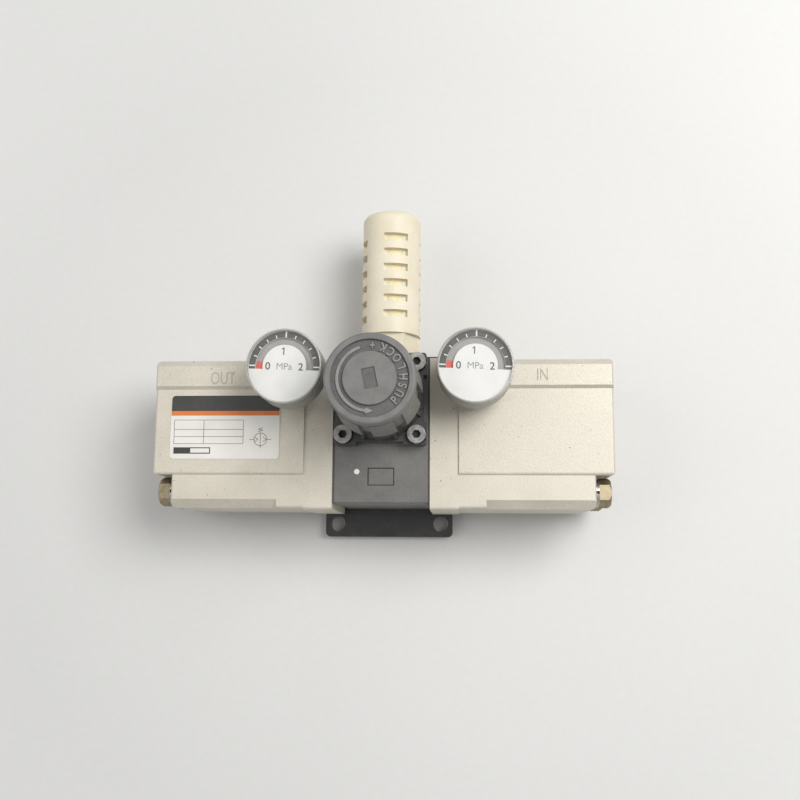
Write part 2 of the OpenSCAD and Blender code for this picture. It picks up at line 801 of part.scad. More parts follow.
// Nuts that hold the pistons on the rod
module rod_nuts() {
  color(steel) for (side = [-1, 1]) on_side(side) difference() {
    xcyl(hex_r(rod_nut_af), rod_nut_x, rod_nut_x + rod_nut_h, bore_y, bore_z, hex_sides);
    xcyl(rod_end_d / 2, rod_nut_x - cut, rod_nut_x + rod_nut_h + cut, bore_y, bore_z);
  }
}

// Rod seals in the block's side faces
module rod_seals() {
  color(rubber) for (side = [-1, 1]) on_side(side) difference() {
    xcyl(rod_seal_r - seat_fit, block_x - rod_seal_l, block_x, bore_y, bore_z);
    xcyl(rod_r + run_fit, block_x - rod_seal_l - cut, block_x + cut, bore_y, bore_z);
  }
}

// Places of the spool's three lands
spool_lands = [-spool_land_x + spool_land_w / 2, 0, spool_land_x - spool_land_w / 2];

// Changeover spool with a trip pin at each end
module spool() {
  color(steel) difference() {
    union() {
      xcyl(trip_pin_r, -spool_tip_x, spool_tip_x, bore_y, spool_z);
      xcyl(spool_waist_r, -spool_land_x, spool_land_x, bore_y, spool_z);
      for (x = spool_lands)
        xcyl(spool_bore_r - run_fit, x - spool_land_w / 2, x + spool_land_w / 2, bore_y, spool_z);
    }
    for (x = spool_lands) difference() {
      xcyl(spool_bore_r, x - spool_ring_w / 2, x + spool_ring_w / 2, bore_y, spool_z);
      xcyl(spool_groove_r, x - spool_ring_w / 2, x + spool_ring_w / 2, bore_y, spool_z);
    }
  }
}

// Seal rings in the spool's lands
module spool_rings() {
  color(rubber) for (x = spool_lands) difference() {
    xcyl(spool_bore_r - seat_fit, x - spool_ring_w / 2 + seat_fit, x + spool_ring_w / 2 - seat_fit,
      bore_y, spool_z);
    xcyl(spool_groove_r + seat_fit, x - spool_ring_w, x + spool_ring_w, bore_y, spool_z);
  }
}

// Bushes that close the spool's bore and guide the trip pins
module guide_bushes() {
  color(brass) for (side = [-1, 1]) on_side(side) difference() {
    xcyl(spool_bore_r - seat_fit, bush_x, block_x, bore_y, spool_z);
    xcyl(trip_pin_r + run_fit, bush_x - cut, block_x + cut, bore_y, spool_z);
  }
}

// Inlet poppet: seats on the pocket's floor and opens towards the cylinder
module inlet_poppet(side) {
  head_x = check_floor_x + poppet_gap;
  color(brass) on_side(side) {
    xcyl(poppet_r, head_x, head_x + poppet_t, inlet_y, check_z);
    xcyl(poppet_stem_r, head_x, block_x - check_lift + stop_gap, inlet_y, check_z);
  }
}

// Outlet poppet: seats on the retainer and opens into the block
module outlet_poppet(side) {
  head_x = retainer_x - poppet_gap - poppet_t;
  color(brass) on_side(side) {
    xcyl(poppet_r, head_x, head_x + poppet_t, outlet_y, check_z);
    xcyl(poppet_stem_r, check_floor_x - check_guide_l + check_lift + stop_gap, head_x, outlet_y, check_z);
  }
}

// Return springs of the check valves, between poppet and retainer or pocket floor
module check_spring(side, y, x0, x1) {
  color(steel) on_side(side) translate([x0, y, check_z]) rotate([0, 90, 0])
    coil(poppet_r - 2 * check_wire_r, check_wire_r, x1 - x0, coil_turns, coil_steps, coil_sides);
}

module inlet_spring(side) {
  check_spring(side, inlet_y, check_floor_x + poppet_gap + poppet_t, retainer_x);
}

module outlet_spring(side) {
  check_spring(side, outlet_y, check_floor_x, retainer_x - poppet_gap - poppet_t);
}

// Retainers pressed into the pockets: a stem guide with flow holes, and a plain seat
module valve_retainers() {
  color(brass) for (side = [-1, 1]) on_side(side) {
    difference() {
      xcyl(check_r - seat_fit, retainer_x, block_x, inlet_y, check_z);
      xcyl(poppet_stem_r + run_fit, retainer_x - cut, block_x + cut, inlet_y, check_z);
      for (a = [0:90:270])
        xcyl(check_flow_r, retainer_x - cut, block_x + cut,
          inlet_y + check_flow_ring * cos(a), check_z + check_flow_ring * sin(a));
    }
    difference() {
      xcyl(check_r - seat_fit, retainer_x, block_x, outlet_y, check_z);
      xcyl(check_bore_r, retainer_x - cut, block_x + cut, outlet_y, check_z);
    }
  }
}

// Diaphragm clamped between the bonnet and the block
module diaphragm() {
  color("#6b5a3a") translate([0, knob_y, 0]) difference() {
    zcyl(diaphragm_d / 2, block_z1 - diaphragm_t, block_z1);
    zcyl(push_stem_r + run_fit, block_z1 - diaphragm_t - cut, block_z1 + cut);
  }
}

// Plate that the adjusting spring presses, with the stem that opens the valve
module spring_plate() {
  color("#c8c8c4") translate([0, knob_y, 0]) {
    zcyl(spring_plate_r, block_z1, block_z1 + spring_plate_t);
    zcyl(push_stem_r, block_z1 - valve_chamber_depth + push_stem_clear, block_z1);
  }
}

// The regulator's valve: head under the seat, pin up to the stem, foot in the guide
module valve_poppet() {
  head_z = valve_seat_z - poppet_gap;
  color(brass) translate([0, knob_y, 0]) {
    zcyl(poppet_head_r, head_z - poppet_head_t, head_z);
    zcyl(poppet_pin_r, head_z, block_z1 - valve_chamber_depth + push_stem_clear);
    zcyl(poppet_foot_r, guide_top_z - foot_depth + valve_lift + foot_gap, head_z - poppet_head_t);
  }
}

// Return spring of the regulator's valve
module valve_spring() {
  top_z = valve_seat_z - poppet_gap - poppet_head_t;
  color(steel) translate([0, knob_y, guide_top_z])
    coil(valve_coil_r, valve_wire_r, top_z - guide_top_z, coil_turns, coil_steps, coil_sides);
}

// Guide that closes the valve well from below
module valve_guide() {
  color(brass) translate([0, knob_y, 0]) difference() {
    zcyl(guide_r, block_z0, guide_top_z);
    zcyl(poppet_foot_r + run_fit, guide_top_z - foot_depth, guide_top_z + cut);
  }
}

// Outline of the bonnet flange: a square whose sides are set back between the corner lugs
module bonnet_outline() {
  difference() {
    round_rect([-bonnet_w / 2, -bonnet_w / 2], [bonnet_w / 2, bonnet_w / 2], bonnet_corner_r);
    for (a = [0:90:270]) rotate(a) translate([bonnet_w / 2 - set_back, -set_back_w / 2])
      square([set_back + cut, set_back_w]);
  }
}

// Bonnet: square flange, ribbed dome and neck, hollow for the adjusting spring
module bonnet() {
  top_z = neck_top - bonnet_top_t;
  color(black_plastic) translate([0, knob_y, 0]) difference() {
    union() {
      translate([0, 0, block_z1]) linear_extrude(bonnet_flange_t) bonnet_outline();
      translate([0, 0, dome_z]) cylinder(r1 = dome_base_r, r2 = dome_top_r, h = dome_h);
      zcyl(neck_r, dome_z, neck_top);
      for (i = [0:rib_count - 1]) rotate([0, 0, (i + 0.5) * 360 / rib_count])
        translate([0, rib_w / 2, dome_z]) rotate([90, 0, 0]) linear_extrude(rib_w) polygon([
          [neck_r - rib_root, 0], [dome_base_r + rib_reach, 0], [dome_top_r + rib_top_out, rib_h],
          [neck_r - rib_root, rib_h]]);
    }
    zcyl(chamber_r, block_z1 - cut, top_z);
    zcyl(adjust_d / 2 + run_fit, top_z - cut, neck_top + cut);
    for (a = [0, 180]) rotate([0, 0, a])
      box([0, -key_w / 2 - key_gap, block_z1 + key_slot_rise],
        [chamber_r + key_out + key_gap, key_w / 2 + key_gap, top_z]);
    for (x = [-1, 1], y = [-1, 1]) {
      zcyl(bonnet_screw_r + screw_fit, block_z1 - cut, dome_z + cut,
        x * bonnet_pitch / 2, y * bonnet_pitch / 2);
      zcyl(bonnet_head_r + screw_fit, dome_z - seat_depth, dome_z + dome_h,
        x * bonnet_pitch / 2, y * bonnet_pitch / 2);
    }
  }
}

// Socket-head screws in the bonnet's corners
module bonnet_screws() {
  seat_z = dome_z - seat_depth;
  color("#6a6a68") for (x = [-1, 1], y = [-1, 1])
    translate([x * bonnet_pitch / 2, knob_y + y * bonnet_pitch / 2, 0]) difference() {
      union() {
        zcyl(bonnet_screw_r - seat_fit, block_z1 - bonnet_grip + cut, seat_z);
        zcyl(bonnet_head_r, seat_z, seat_z + bonnet_head_h);
      }
      zcyl(hex_r(bonnet_hex_af), seat_z + bonnet_head_h - bonnet_socket_depth,
        seat_z + bonnet_head_h + cut, sides = hex_sides);
    }
}

// Spring that sets the output pressure
module adjusting_spring() {
  foot_z = block_z1 + spring_plate_t;
  color(steel) translate([0, knob_y, foot_z])
    coil(adjust_coil_r, adjust_wire_r, nut_z - foot_z, adjust_turns, adjust_steps, adjust_sides);
}

// Nut that rides on the adjusting screw, kept from turning by two keys
module spring_nut() {
  color(brass) translate([0, knob_y, 0]) difference() {
    union() {
      zcyl(nut_r, nut_z, nut_z + nut_t);
      intersection() {
        box([-chamber_r - key_out, -key_w / 2, nut_z], [chamber_r + key_out, key_w / 2, nut_z + nut_t]);
        zcyl(chamber_r + key_out, nut_z, nut_z + nut_t);
      }
    }
    zcyl(adjust_d / 2 + run_fit, nut_z - cut, nut_z + nut_t + cut);
  }
}

// Adjusting screw: thread, thrust collar, journal and the hexagon that drives it
module adjusting_screw() {
  color(steel) translate([0, knob_y, 0]) {
    zcyl(adjust_d / 2, screw_foot_z, neck_top + stop_gap);
    zcyl(collar_r, collar_z, collar_z + collar_t);
    zcyl(drive_r, neck_top, neck_top + drive_l, sides = hex_sides);
  }
}

// Washer between the collar and the bonnet's top wall
module thrust_washer() {
  color(brass) translate([0, knob_y, 0]) difference() {
    zcyl(collar_r, collar_z + collar_t, collar_z + collar_t + thrust_t);
    zcyl(adjust_d / 2 + run_fit, collar_z, collar_z + collar_t + thrust_t + cut);
  }
}

// Half section of the knob: hub, skirt, rim with a round edge, sunk ring and raised disc
module knob_section() {
  polygon([
    [0, hub_z], [hub_r, hub_z], [hub_r, knob_h - cap_t], [skirt_in_r, knob_h - cap_t], [skirt_in_r, 0],
    [skirt_r, 0], [skirt_r, rim_z - rim_slope], [knob_r, rim_z], [knob_r, knob_h - knob_edge_r],
    [knob_r - knob_edge_r, knob_h], [rim_in_r, knob_h], [rim_in_r - ring_slope, knob_h - ring_depth],
    [disc_r + ring_slope, knob_h - ring_depth], [disc_r, knob_h], [0, knob_h]]);
  translate([knob_r - knob_edge_r, knob_h - knob_edge_r]) circle(knob_edge_r);
}

// Grip pads: a ring that narrows towards the rim, parted by straight grooves
module knob_grips() {
  foot_r = knob_r + grip_out;
  difference() {
    rotate_extrude() polygon([
      [skirt_r - grip_root, 0], [foot_r, 0], [foot_r - grip_taper, rim_z - rim_slope],
      [skirt_r - grip_root, rim_z - rim_slope]]);
    for (i = [0:grip_count - 1]) rotate([0, 0, grip_turn + (i + 0.5) * 360 / grip_count])
      box([skirt_r - grip_root - cut, -groove_w / 2, -cut], [foot_r + cut, groove_w / 2, rim_z]);
  }
}

// Push-lock knob: a cup with a rim, a sunk ring, a raised disc and grip pads on the skirt
module knob() {
  color(black_plastic) translate([0, knob_y, knob_z]) difference() {
    union() {
      rotate_extrude() knob_section();
      knob_grips();
    }
    zcyl(drive_r + run_fit * 2, hub_z - cut, knob_cover + drive_l + hub_gap, sides = hex_sides);
    rotate([0, 0, knob_mark_turn]) translate([0, 0, knob_h - knob_mark_depth])
      linear_extrude(knob_mark_depth + cut) square(knob_mark, center = true);
  }
}

// Threaded stem of a gauge, with its hexagon and the pointer's bearing
module gauge_stem(x) {
  color(brass) translate([x, gauge_y, 0]) difference() {
    union() {
      zcyl(gauge_port_r - seat_fit, strip_z - gauge_port_depth + cut, strip_z);
      zcyl(hex_r(stem_hex_af), strip_z, strip_z + stem_hex_h, sides = hex_sides);
      zcyl(stem_r, strip_z, stem_top_z);
    }
    zcyl(arbor_r + run_fit, gauge_back_z, stem_top_z + cut);
  }
}

// Back case of a gauge: a cup with a sleeve that carries the dial
module gauge_case(x) {
  color("#9aa09a") translate([x, gauge_y, 0]) rotate_extrude() {
    polygon([
      [stem_r + seat_fit, gauge_back_z], [gauge_r - case_edge, gauge_back_z],
      [gauge_r, gauge_back_z + case_edge], [gauge_r, case_top_z], [sleeve_r, case_top_z],
      [sleeve_r, dial_z], [sleeve_r - sleeve_wall, dial_z],
      [sleeve_r - sleeve_wall, gauge_back_z + case_floor], [stem_r + seat_fit, gauge_back_z + case_floor]]);
    translate([gauge_r - case_edge, gauge_back_z + case_edge]) circle(case_edge);
  }
}

// Dark seal ring between a gauge's case and its lens
module gauge_ring(x) {
  color(rubber) translate([x, gauge_y, 0]) difference() {
    zcyl(gauge_r - ring_set_in, case_top_z, lens_z);
    zcyl(sleeve_r + seat_fit, case_top_z - cut, lens_z + cut);
  }
}

// Indicator disc that turns under a gauge's window
module gauge_pointer(x) {
  top_z = dial_z - pointer_drop;
  color("#a5a3a0") translate([x, gauge_y, 0]) {
    zcyl(sleeve_r - sleeve_wall - pointer_gap, top_z - pointer_t, top_z);
    zcyl(arbor_r, gauge_back_z + arbor_foot, top_z - pointer_t);
  }
}

// Half-ring slot of a dial, seen from above, with its ends a little below the middle
module dial_window() {
  difference() {
    circle(window_out_r);
    circle(window_in_r);
    translate([-gauge_r, -2 * gauge_r - window_drop]) square(2 * gauge_r);
  }
}

// Dial plate with its half-ring window
module gauge_dial(x) {
  color("white") translate([x, gauge_y, dial_z]) rotate([0, 0, -gauge_turn]) linear_extrude(dial_t)
    difference() {
      circle(dial_r);
      dial_window();
    }
}

// Clear cap over a gauge's dial
module gauge_lens(x) {
  edge_r = gauge_r - lens_edge;
  color([0.85, 0.88, 0.85, 0.5]) translate([x, gauge_y, 0]) rotate_extrude() {
    polygon([
      [0, gauge_face_z - lens_t], [gauge_r - lens_wall, gauge_face_z - lens_t],
      [gauge_r - lens_wall, lens_z], [gauge_r, lens_z], [gauge_r, gauge_face_z - lens_edge],
      [edge_r, gauge_face_z], [0, gauge_face_z]]);
    intersection() {
      translate([edge_r, gauge_face_z - lens_edge]) circle(lens_edge);
      translate([edge_r, gauge_face_z - lens_edge]) square(lens_edge);
    }
  }
}

// Half section of the silencer's barrel, with a rounded tip
module barrel_section() {
  barrel_l = silencer_tip - silencer_step_y;
  square([silencer_r - tip_r, barrel_l]);
  square([silencer_r, barrel_l - tip_r]);
  intersection() {
    translate([silencer_r - tip_r, barrel_l - tip_r]) circle(tip_r);
    translate([silencer_r - tip_r, barrel_l - tip_r]) square(tip_r);
  }
}

// Silencer: threaded spigot, hexagon and a barrel with four staggered rows of windows
module silencer_body() {
  color(ivory) translate([silencer_x, 0, silencer_z]) difference() {
    union() {
      ycyl(spigot_r, block_far - spigot_l, block_far, 0, 0);
      ycyl(silencer_hex_r, block_far, silencer_step_y + cut, 0, 0, hex_sides);
      translate([0, silencer_step_y, 0]) rotate([-90, 0, 0]) rotate_extrude() barrel_section();
    }
    ycyl(silencer_in_r, element_y0, element_y1, 0, 0);
    ycyl(spigot_bore_r, block_far - spigot_l - cut, silencer_step_y, 0, 0);
    for (row = [0:slot_rows - 1], i = [0:slot_count - 1]) {
      mid_y = silencer_tip - slot_first - (i + slot_stagger * (row % 2)) * slot_pitch;
      rotate([0, slot_turn + row * 360 / slot_rows, 0]) translate([0, mid_y, silencer_r])
        cube([slot_w, slot_h, 2 * silencer_wall + cut], center = true);
    }
  }
}

// Porous tube inside the silencer
module silencer_element() {
  color("#e6d79c") translate([silencer_x, 0, silencer_z]) difference() {
    ycyl(element_r, element_y0, element_y1, 0, 0);
    ycyl(element_in_r, element_y0 - cut, element_y1 + cut, 0, 0);
  }
}

// Rating label on the left cover's panel
module label() {
  color("#e8e6e0") translate([-label_x, label_y, panel_z]) linear_extrude(label_t)
    round_rect([-label_l / 2, -label_h / 2], [label_l / 2, label_h / 2], label_corner_r);
}

base_plate();
plate_screws();
centre_block();
gasket(-1);  // gasket_left
gasket(1);  // gasket_right
cover(-1, gauge_left_x);  // cover_left
cover(1, gauge_right_x);  // cover_right
cover_bolts();
spring_washers();
cover_screws();
piston_rod();
piston(-1);  // piston_left
piston(1);  // piston_right
piston_seals();
rod_nuts();
rod_seals();
spool();
spool_rings();
guide_bushes();
inlet_poppet(-1);  // inlet_poppet_left
inlet_poppet(1);  // inlet_poppet_right
outlet_poppet(-1);  // outlet_poppet_left
outlet_poppet(1);  // outlet_poppet_right
inlet_spring(-1);  // inlet_spring_left
inlet_spring(1);  // inlet_spring_right
outlet_spring(-1);  // outlet_spring_left
outlet_spring(1);  // outlet_spring_right
valve_retainers();
diaphragm();
spring_plate();
valve_poppet();
valve_spring();
valve_guide();
bonnet();
bonnet_screws();
adjusting_spring();
spring_nut();
adjusting_screw();
thrust_washer();
knob();
gauge_stem(-gauge_left_x);  // gauge_stem_left
gauge_stem(gauge_right_x);  // gauge_stem_right
gauge_case(-gauge_left_x);  // gauge_case_left
gauge_case(gauge_right_x);  // gauge_case_right
gauge_ring(-gauge_left_x);  // gauge_ring_left
gauge_ring(gauge_right_x);  // gauge_ring_right
gauge_pointer(-gauge_left_x);  // gauge_pointer_left
gauge_pointer(gauge_right_x);  // gauge_pointer_right
gauge_dial(-gauge_left_x);  // gauge_dial_left
gauge_dial(gauge_right_x);  // gauge_dial_right
gauge_lens(-gauge_left_x);  // gauge_lens_left
gauge_lens(gauge_right_x);  // gauge_lens_right
silencer_body();
silencer_element();
label();
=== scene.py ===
"""Looks of a small air pressure booster: a finish for every piece, printed dials and label, cast words,
the knob's legend, dark sheets of painted shade in sockets and corners, the threads in the air ports, and
wound springs and a moulded diaphragm. Named sizes are millimetres unless a comment says otherwise, and meshes
are metres."""
import json
import math

import bpy
import numpy as np
from mathutils import Matrix, Vector


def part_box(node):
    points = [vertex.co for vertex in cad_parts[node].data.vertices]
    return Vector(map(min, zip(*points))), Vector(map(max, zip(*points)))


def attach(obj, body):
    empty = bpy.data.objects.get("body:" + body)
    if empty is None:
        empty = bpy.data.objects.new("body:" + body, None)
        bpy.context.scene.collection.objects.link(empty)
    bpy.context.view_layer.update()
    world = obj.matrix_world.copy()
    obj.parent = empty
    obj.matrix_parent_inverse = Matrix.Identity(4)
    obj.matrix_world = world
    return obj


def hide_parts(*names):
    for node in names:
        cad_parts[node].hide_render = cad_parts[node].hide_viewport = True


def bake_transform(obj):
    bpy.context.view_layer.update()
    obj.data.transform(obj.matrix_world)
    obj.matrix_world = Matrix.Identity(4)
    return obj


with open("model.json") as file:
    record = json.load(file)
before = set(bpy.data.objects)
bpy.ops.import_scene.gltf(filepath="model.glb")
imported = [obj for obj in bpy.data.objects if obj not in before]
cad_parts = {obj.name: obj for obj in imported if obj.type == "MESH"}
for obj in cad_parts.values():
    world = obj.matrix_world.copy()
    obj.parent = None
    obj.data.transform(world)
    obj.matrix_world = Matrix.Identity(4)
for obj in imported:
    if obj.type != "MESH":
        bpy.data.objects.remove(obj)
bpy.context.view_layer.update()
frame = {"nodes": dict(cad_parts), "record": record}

MM = 0.001
SIDES = ("left", "right")
X_AXIS, Z_AXIS = 0, 2

# The camera, fitted to the photograph's 800 x 800 frame
CAMERA_PLACE = Vector((31.1, -46.2, 413.0)) * MM
CAMERA_TURNS_DEG = {"X": -9.23, "Y": -3.72, "Z": 0.17}
LENS_MM = 42.75
SENSOR_MM = 36.0
CLIP_NEAR = 10.0

# Noise in every finish: detail of its clouds, grain and specks, and the stretch of its values that counts
CLOUD_DETAIL, GRAIN_DETAIL, SPECK_DETAIL = 4.0, 2.0, 1.0
CLOUD_LOW, CLOUD_HIGH = 0.32, 0.68
GRAIN_LOW, GRAIN_HIGH = 0.3, 0.7
SPECK_EDGE = 0.04
# How far the grain lightens and darkens a finish, as a share, where the finish doesn't say
PLAIN_MOTTLE = 0.04
# Turned pieces: the noise is squeezed along X, so that it shows as tool lines
TOOL_LINES = (6, 1, 1)
# Sockets of a Mix node that mixes colours: share, first and second colour, and result
MIX_SHARE, MIX_FIRST, MIX_SECOND, MIX_RESULT = 0, 6, 7, 2

# Ink stands this far above what it is printed on
PRINT_T = 0.03

# Steps of what is drawn: a letter's curves, a strip's points across, a round corner, a rounded edge
LETTER_STEPS = 5
STRIP_ROWS = 3
CORNER_STEPS = 8
EDGE_STEPS = 2

# Prints on a gauge's dial, from the dial's middle
DIAL_TURN_DEG = -2.2
BAND_IN, BAND_OUT = 10.75, 13.2
BAND_DROP = 1.2
BAND_STEPS = 72
SCALE_DEG = 180
TICK_STEP_DEG, TICK_MAIN_DEG = 18, 90
TICK_W, TICK_LONG_W = 0.38, 0.52
TICK_GAP = 0.1
TICK_SHORT_OUT = 12.1
FIGURE_SIZE = 3.9
FIGURE_WEIGHT = 0.05
FIGURE_PLACES = {"0": (-6.15, 0.0), "2": (6.1, 0.0)}
ONE_PLACE = (-0.5, 5.65)
ONE_H = 2.75
# Outline of the figure one, as shares of its height
ONE_OUTLINE = ((0.07, -0.5), (0.07, 0.5), (-0.04, 0.5), (-0.28, 0.34), (-0.28, 0.2), (-0.07, 0.31),
               (-0.07, -0.5))
UNIT_SIZE = 3.5
MARKER_IN, MARKER_OUT = 8.2, 10.6
MARKER_FROM_DEG, MARKER_TO_DEG = 169.5, 196.0
MARKER_STEPS = 12

# Clear cap of a gauge: where its see-through middle ends, how fast its pale rim of painted sheen begins, and
# their alphas
LENS_CLEAR_R = 13.2
LENS_SHEEN_RUN = 0.3
LENS_CLEAR_ALPHA, LENS_SHEEN_ALPHA = 0.06, 0.78

# Prints on the label, from its lower left corner
LABEL_EDGE = 0.15
LABEL_CORNER_R = 1.35
LABEL_BAND_H = 6.1
LABEL_STRIPE_H = 1.8
RULE_W = 0.2
TABLE_X = (1.5, 13.2, 28.8)
TABLE_Y = (5.9, 8.7, 11.5, 15.2)
SERIAL_BOX = (1.5, 2.0, 16.0, 4.5)
SERIAL_SPACE = (8.2, 2.4, 15.6, 4.1)
SIGN_PLACE = (35.6, 7.6)
SIGN_R = 2.5
SIGN_W = 0.18
SIGN_STEPS = 37
# The sign's lines, as shares of its circle's radius: a spring, a flow mark in each half, the line that parts
# the circle, and a lead at each side
SIGN_LINES = (
    ((-0.36, 1.2), (0.36, 1.4), (-0.36, 1.6), (0.36, 1.8)),
    ((-0.92, 0.36), (-0.4, 0), (-0.92, -0.36)),
    ((0.4, 0.36), (0.92, 0), (0.4, -0.36)),
    ((0, -1.36), (0, 1)),
    ((-1.7, 0), (-1, 0)),
    ((1, 0), (1.7, 0)),
)

# The knob's sunk ring and the dark sheet on its floor, partly dirt and partly painted shade
RING_DEPTH = 1.2
RING_FLOOR_IN, RING_FLOOR_OUT = 9.55, 13.25
RING_FLOOR_STEPS = 96

# Box sunk in the knob's disc, left bare
BOX_W, BOX_H = 4.5, 7.1
BOX_DEPTH = 0.5
BOX_TURN_DEG = 12

# Legend in the ring: letters by their angle, and an arrow
LEGEND_DEG = {"P": -42, "U": -28, "S": -13, "H": 2, "L": 20, "O": 37, "C": 52, "K": 67, "+": 86}
LEGEND_SIZE = 4.2
LEGEND_NARROW = 0.86
LEGEND_WEIGHT = 0.1
LEGEND_FOOT_R = 12.9
LEGEND_RISE = 0.6
LEGEND_EDGE = 0.06
ARROW_R = 11.2
ARROW_W = 1.0
ARROW_FROM_DEG, ARROW_TO_DEG = 108, 276
ARROW_HEAD_DEG = 13
ARROW_HEAD_W = 2.4
ARROW_TIP_W = 0.04
ARROW_STEPS = 60

# Words cast on the port strips
CAST_SIZE = 7.2
CAST_NARROW = 0.64
CAST_WEIGHT = -0.12
CAST_RISE = 0.25
CAST_EDGE = 0.08
CAST_PLACES = {"IN": (62.1, 22.3), "OUT": (-62.2, 21.4)}

# Painted shade: dark hexagons on the floors of the bonnet screws' sockets, and a dark line inside the box
# sunk in the block
SOCKET_R = 1.68
SOCKET_DEPTH = 2.0
SOCKET_PITCH = 28.0
HEX_SIDES = 6
BLOCK_BOX_W, BLOCK_BOX_H = 10.3, 6.9
BLOCK_BOX_Y = -16.9
BLOCK_BOX_DEPTH = 0.4
BLOCK_BOX_LINE = 0.4

# Paint dot on the block
DOT_R = 1.1
DOT_PLACE = (-9.35, -15.0)
DOT_RISE = 0.12
DOT_RINGS, DOT_SPOKES = 8, 40
# The dab's innermost ring, as a share of its radius, and the power that rounds its edge
DOT_CORE = 0.02
DOT_POWER = 4

# Pipe thread in the air ports
THREAD_PITCH = 1.337
THREAD_DEPTH = 0.62
# How far the thread's roots and its outer wall stand off the port's wall
THREAD_WALL, THREAD_SKIN = 0.04, 0.01
THREAD_END_GAP = 0.4
THREAD_FADE = 0.6
THREAD_SPOKES, THREAD_RINGS = 48, 120

# Springs of round wire: radius of the wire and number of turns
CHECK_WIRE_R, VALVE_WIRE_R, ADJUST_WIRE_R = 0.3, 0.4, 1.1
SPRING_TURNS, ADJUST_TURNS = 4, 5
WIRE_SIDES, WIRE_STEPS = 12, 32
# Share of the adjusting spring made as its lower piece, on the spring plate's side; the rest is the upper
# piece, on the nut's side
PLATE_SHARE = 0.3

# Moulded diaphragm: the disc under the spring plate, and the rim that the bonnet clamps
SHEET_T = 0.35
DISC_R, DISC_HOLE_R = 9.4, 1.55
RIM_IN_R = 10.4
DIAPHRAGM_SPOKES = 72

# Studio: an even sky with its level as light and as backdrop
SKY_TONE = "#f3f4f6"
SKY_LEVEL = 0.4
SKY_SEEN = 0.78
# Lamps as (place in metres, width in metres, watts), and the point in metres that they face
LAMPS = {"key": ((0.32, 0.16, 0.6), 0.36, 3.6), "fill": ((-0.5, 0.05, 0.55), 0.6, 1.1)}
LAMP_AIM = (0, 0, 0.04)
# Floor: half its width in metres, and how far it lies under the plate
FLOOR_REACH = 2.5
FLOOR_DROP = 0.05
# The floor stays pale to the eye beyond the lamps' reach: where that starts and where it is full, in metres,
# and its tone and level
FLOOR_NEAR, FLOOR_FAR = 0.18, 0.8
FLOOR_GLOW_TONE = "#e0dfdc"
FLOOR_GLOW = 0.52


def linear(colour):
    """An sRGB hex value as linear RGBA, by the standard sRGB curve."""
    srgb = np.array([int(colour[i:i + 2], 16) for i in (1, 3, 5)]) / 255
    rgb = np.where(srgb <= 0.04045, srgb / 12.92, ((srgb + 0.055) / 1.055) ** 2.4)
    return (*rgb.tolist(), 1.0)


def add(tree, kind, inputs=None, **settings):
    """Adds a node, sets its properties and fills its inputs with values or other nodes' sockets."""
    made = tree.nodes.new(kind)
    for name, value in settings.items():
        setattr(made, name, value)
    for name, value in (inputs or {}).items():
        if isinstance(value, bpy.types.NodeSocket):
            tree.links.new(value, made.inputs[name])
        else:
            made.inputs[name].default_value = value
    return made


def finish(name, tones, rough, clouds_mm, grain_mm, relief_mm, mottle=PLAIN_MOTTLE, stretch=(1, 1, 1),
           specks=None, **constants):
    """A surface of two tones that soft clouds mix and a fine grain mottles. Roughness follows the clouds and
    relief follows the grain. Specks, where asked for, are (colour, size in mm, where the noise starts one),
    and constants fill the shader's other sockets."""
    material = bpy.data.materials.new(name)
    material.use_nodes = True
    tree = material.node_tree
    shader = tree.nodes["Principled BSDF"]
    for socket, value in constants.items():
        shader.inputs[socket.replace("_", " ").title().replace("Ior", "IOR")].default_value = value
    place = add(tree, "ShaderNodeTexCoord").outputs["Object"]
    place = add(tree, "ShaderNodeMapping", {"Vector": place, "Scale": stretch}).outputs["Vector"]
    noise = add(tree, "ShaderNodeTexNoise",
                {"Vector": place, "Scale": 1 / (clouds_mm * MM), "Detail": CLOUD_DETAIL})
    clouds = {"Value": noise.outputs["Fac"], "From Min": CLOUD_LOW, "From Max": CLOUD_HIGH}
    share = add(tree, "ShaderNodeMapRange", clouds).outputs[0]
    mixed = add(tree, "ShaderNodeMix",
                {MIX_SHARE: share, MIX_FIRST: linear(tones[0]), MIX_SECOND: linear(tones[1])},
                data_type="RGBA").outputs[MIX_RESULT]
    grain = add(tree, "ShaderNodeTexNoise",
                {"Vector": place, "Scale": 1 / (grain_mm * MM), "Detail": GRAIN_DETAIL})
    shade = add(tree, "ShaderNodeMapRange",
                {"Value": grain.outputs["Fac"], "From Min": GRAIN_LOW, "From Max": GRAIN_HIGH,
                 "To Min": 1 - mottle, "To Max": 1 + mottle})
    colour = add(tree, "ShaderNodeVectorMath", {0: mixed, "Scale": shade.outputs[0]},
                 operation="SCALE").outputs["Vector"]
    if specks:
        speck_tone, speck_mm, speck_start = specks
        dots = add(tree, "ShaderNodeTexNoise",
                   {"Vector": place, "Scale": 1 / (speck_mm * MM), "Detail": SPECK_DETAIL})
        edge = add(tree, "ShaderNodeMapRange",
                   {"Value": dots.outputs["Fac"], "From Min": speck_start,
                    "From Max": speck_start + SPECK_EDGE})
        colour = add(tree, "ShaderNodeMix",
                     {MIX_SHARE: edge.outputs[0], MIX_FIRST: colour, MIX_SECOND: linear(speck_tone)},
                     data_type="RGBA").outputs[MIX_RESULT]
    gloss = add(tree, "ShaderNodeMapRange", {**clouds, "To Min": rough[0], "To Max": rough[1]})
    bump = add(tree, "ShaderNodeBump", {"Height": grain.outputs["Fac"], "Distance": relief_mm * MM})
    tree.links.new(colour, shader.inputs["Base Color"])
    tree.links.new(gloss.outputs[0], shader.inputs["Roughness"])
    tree.links.new(bump.outputs["Normal"], shader.inputs["Normal"])
    return material


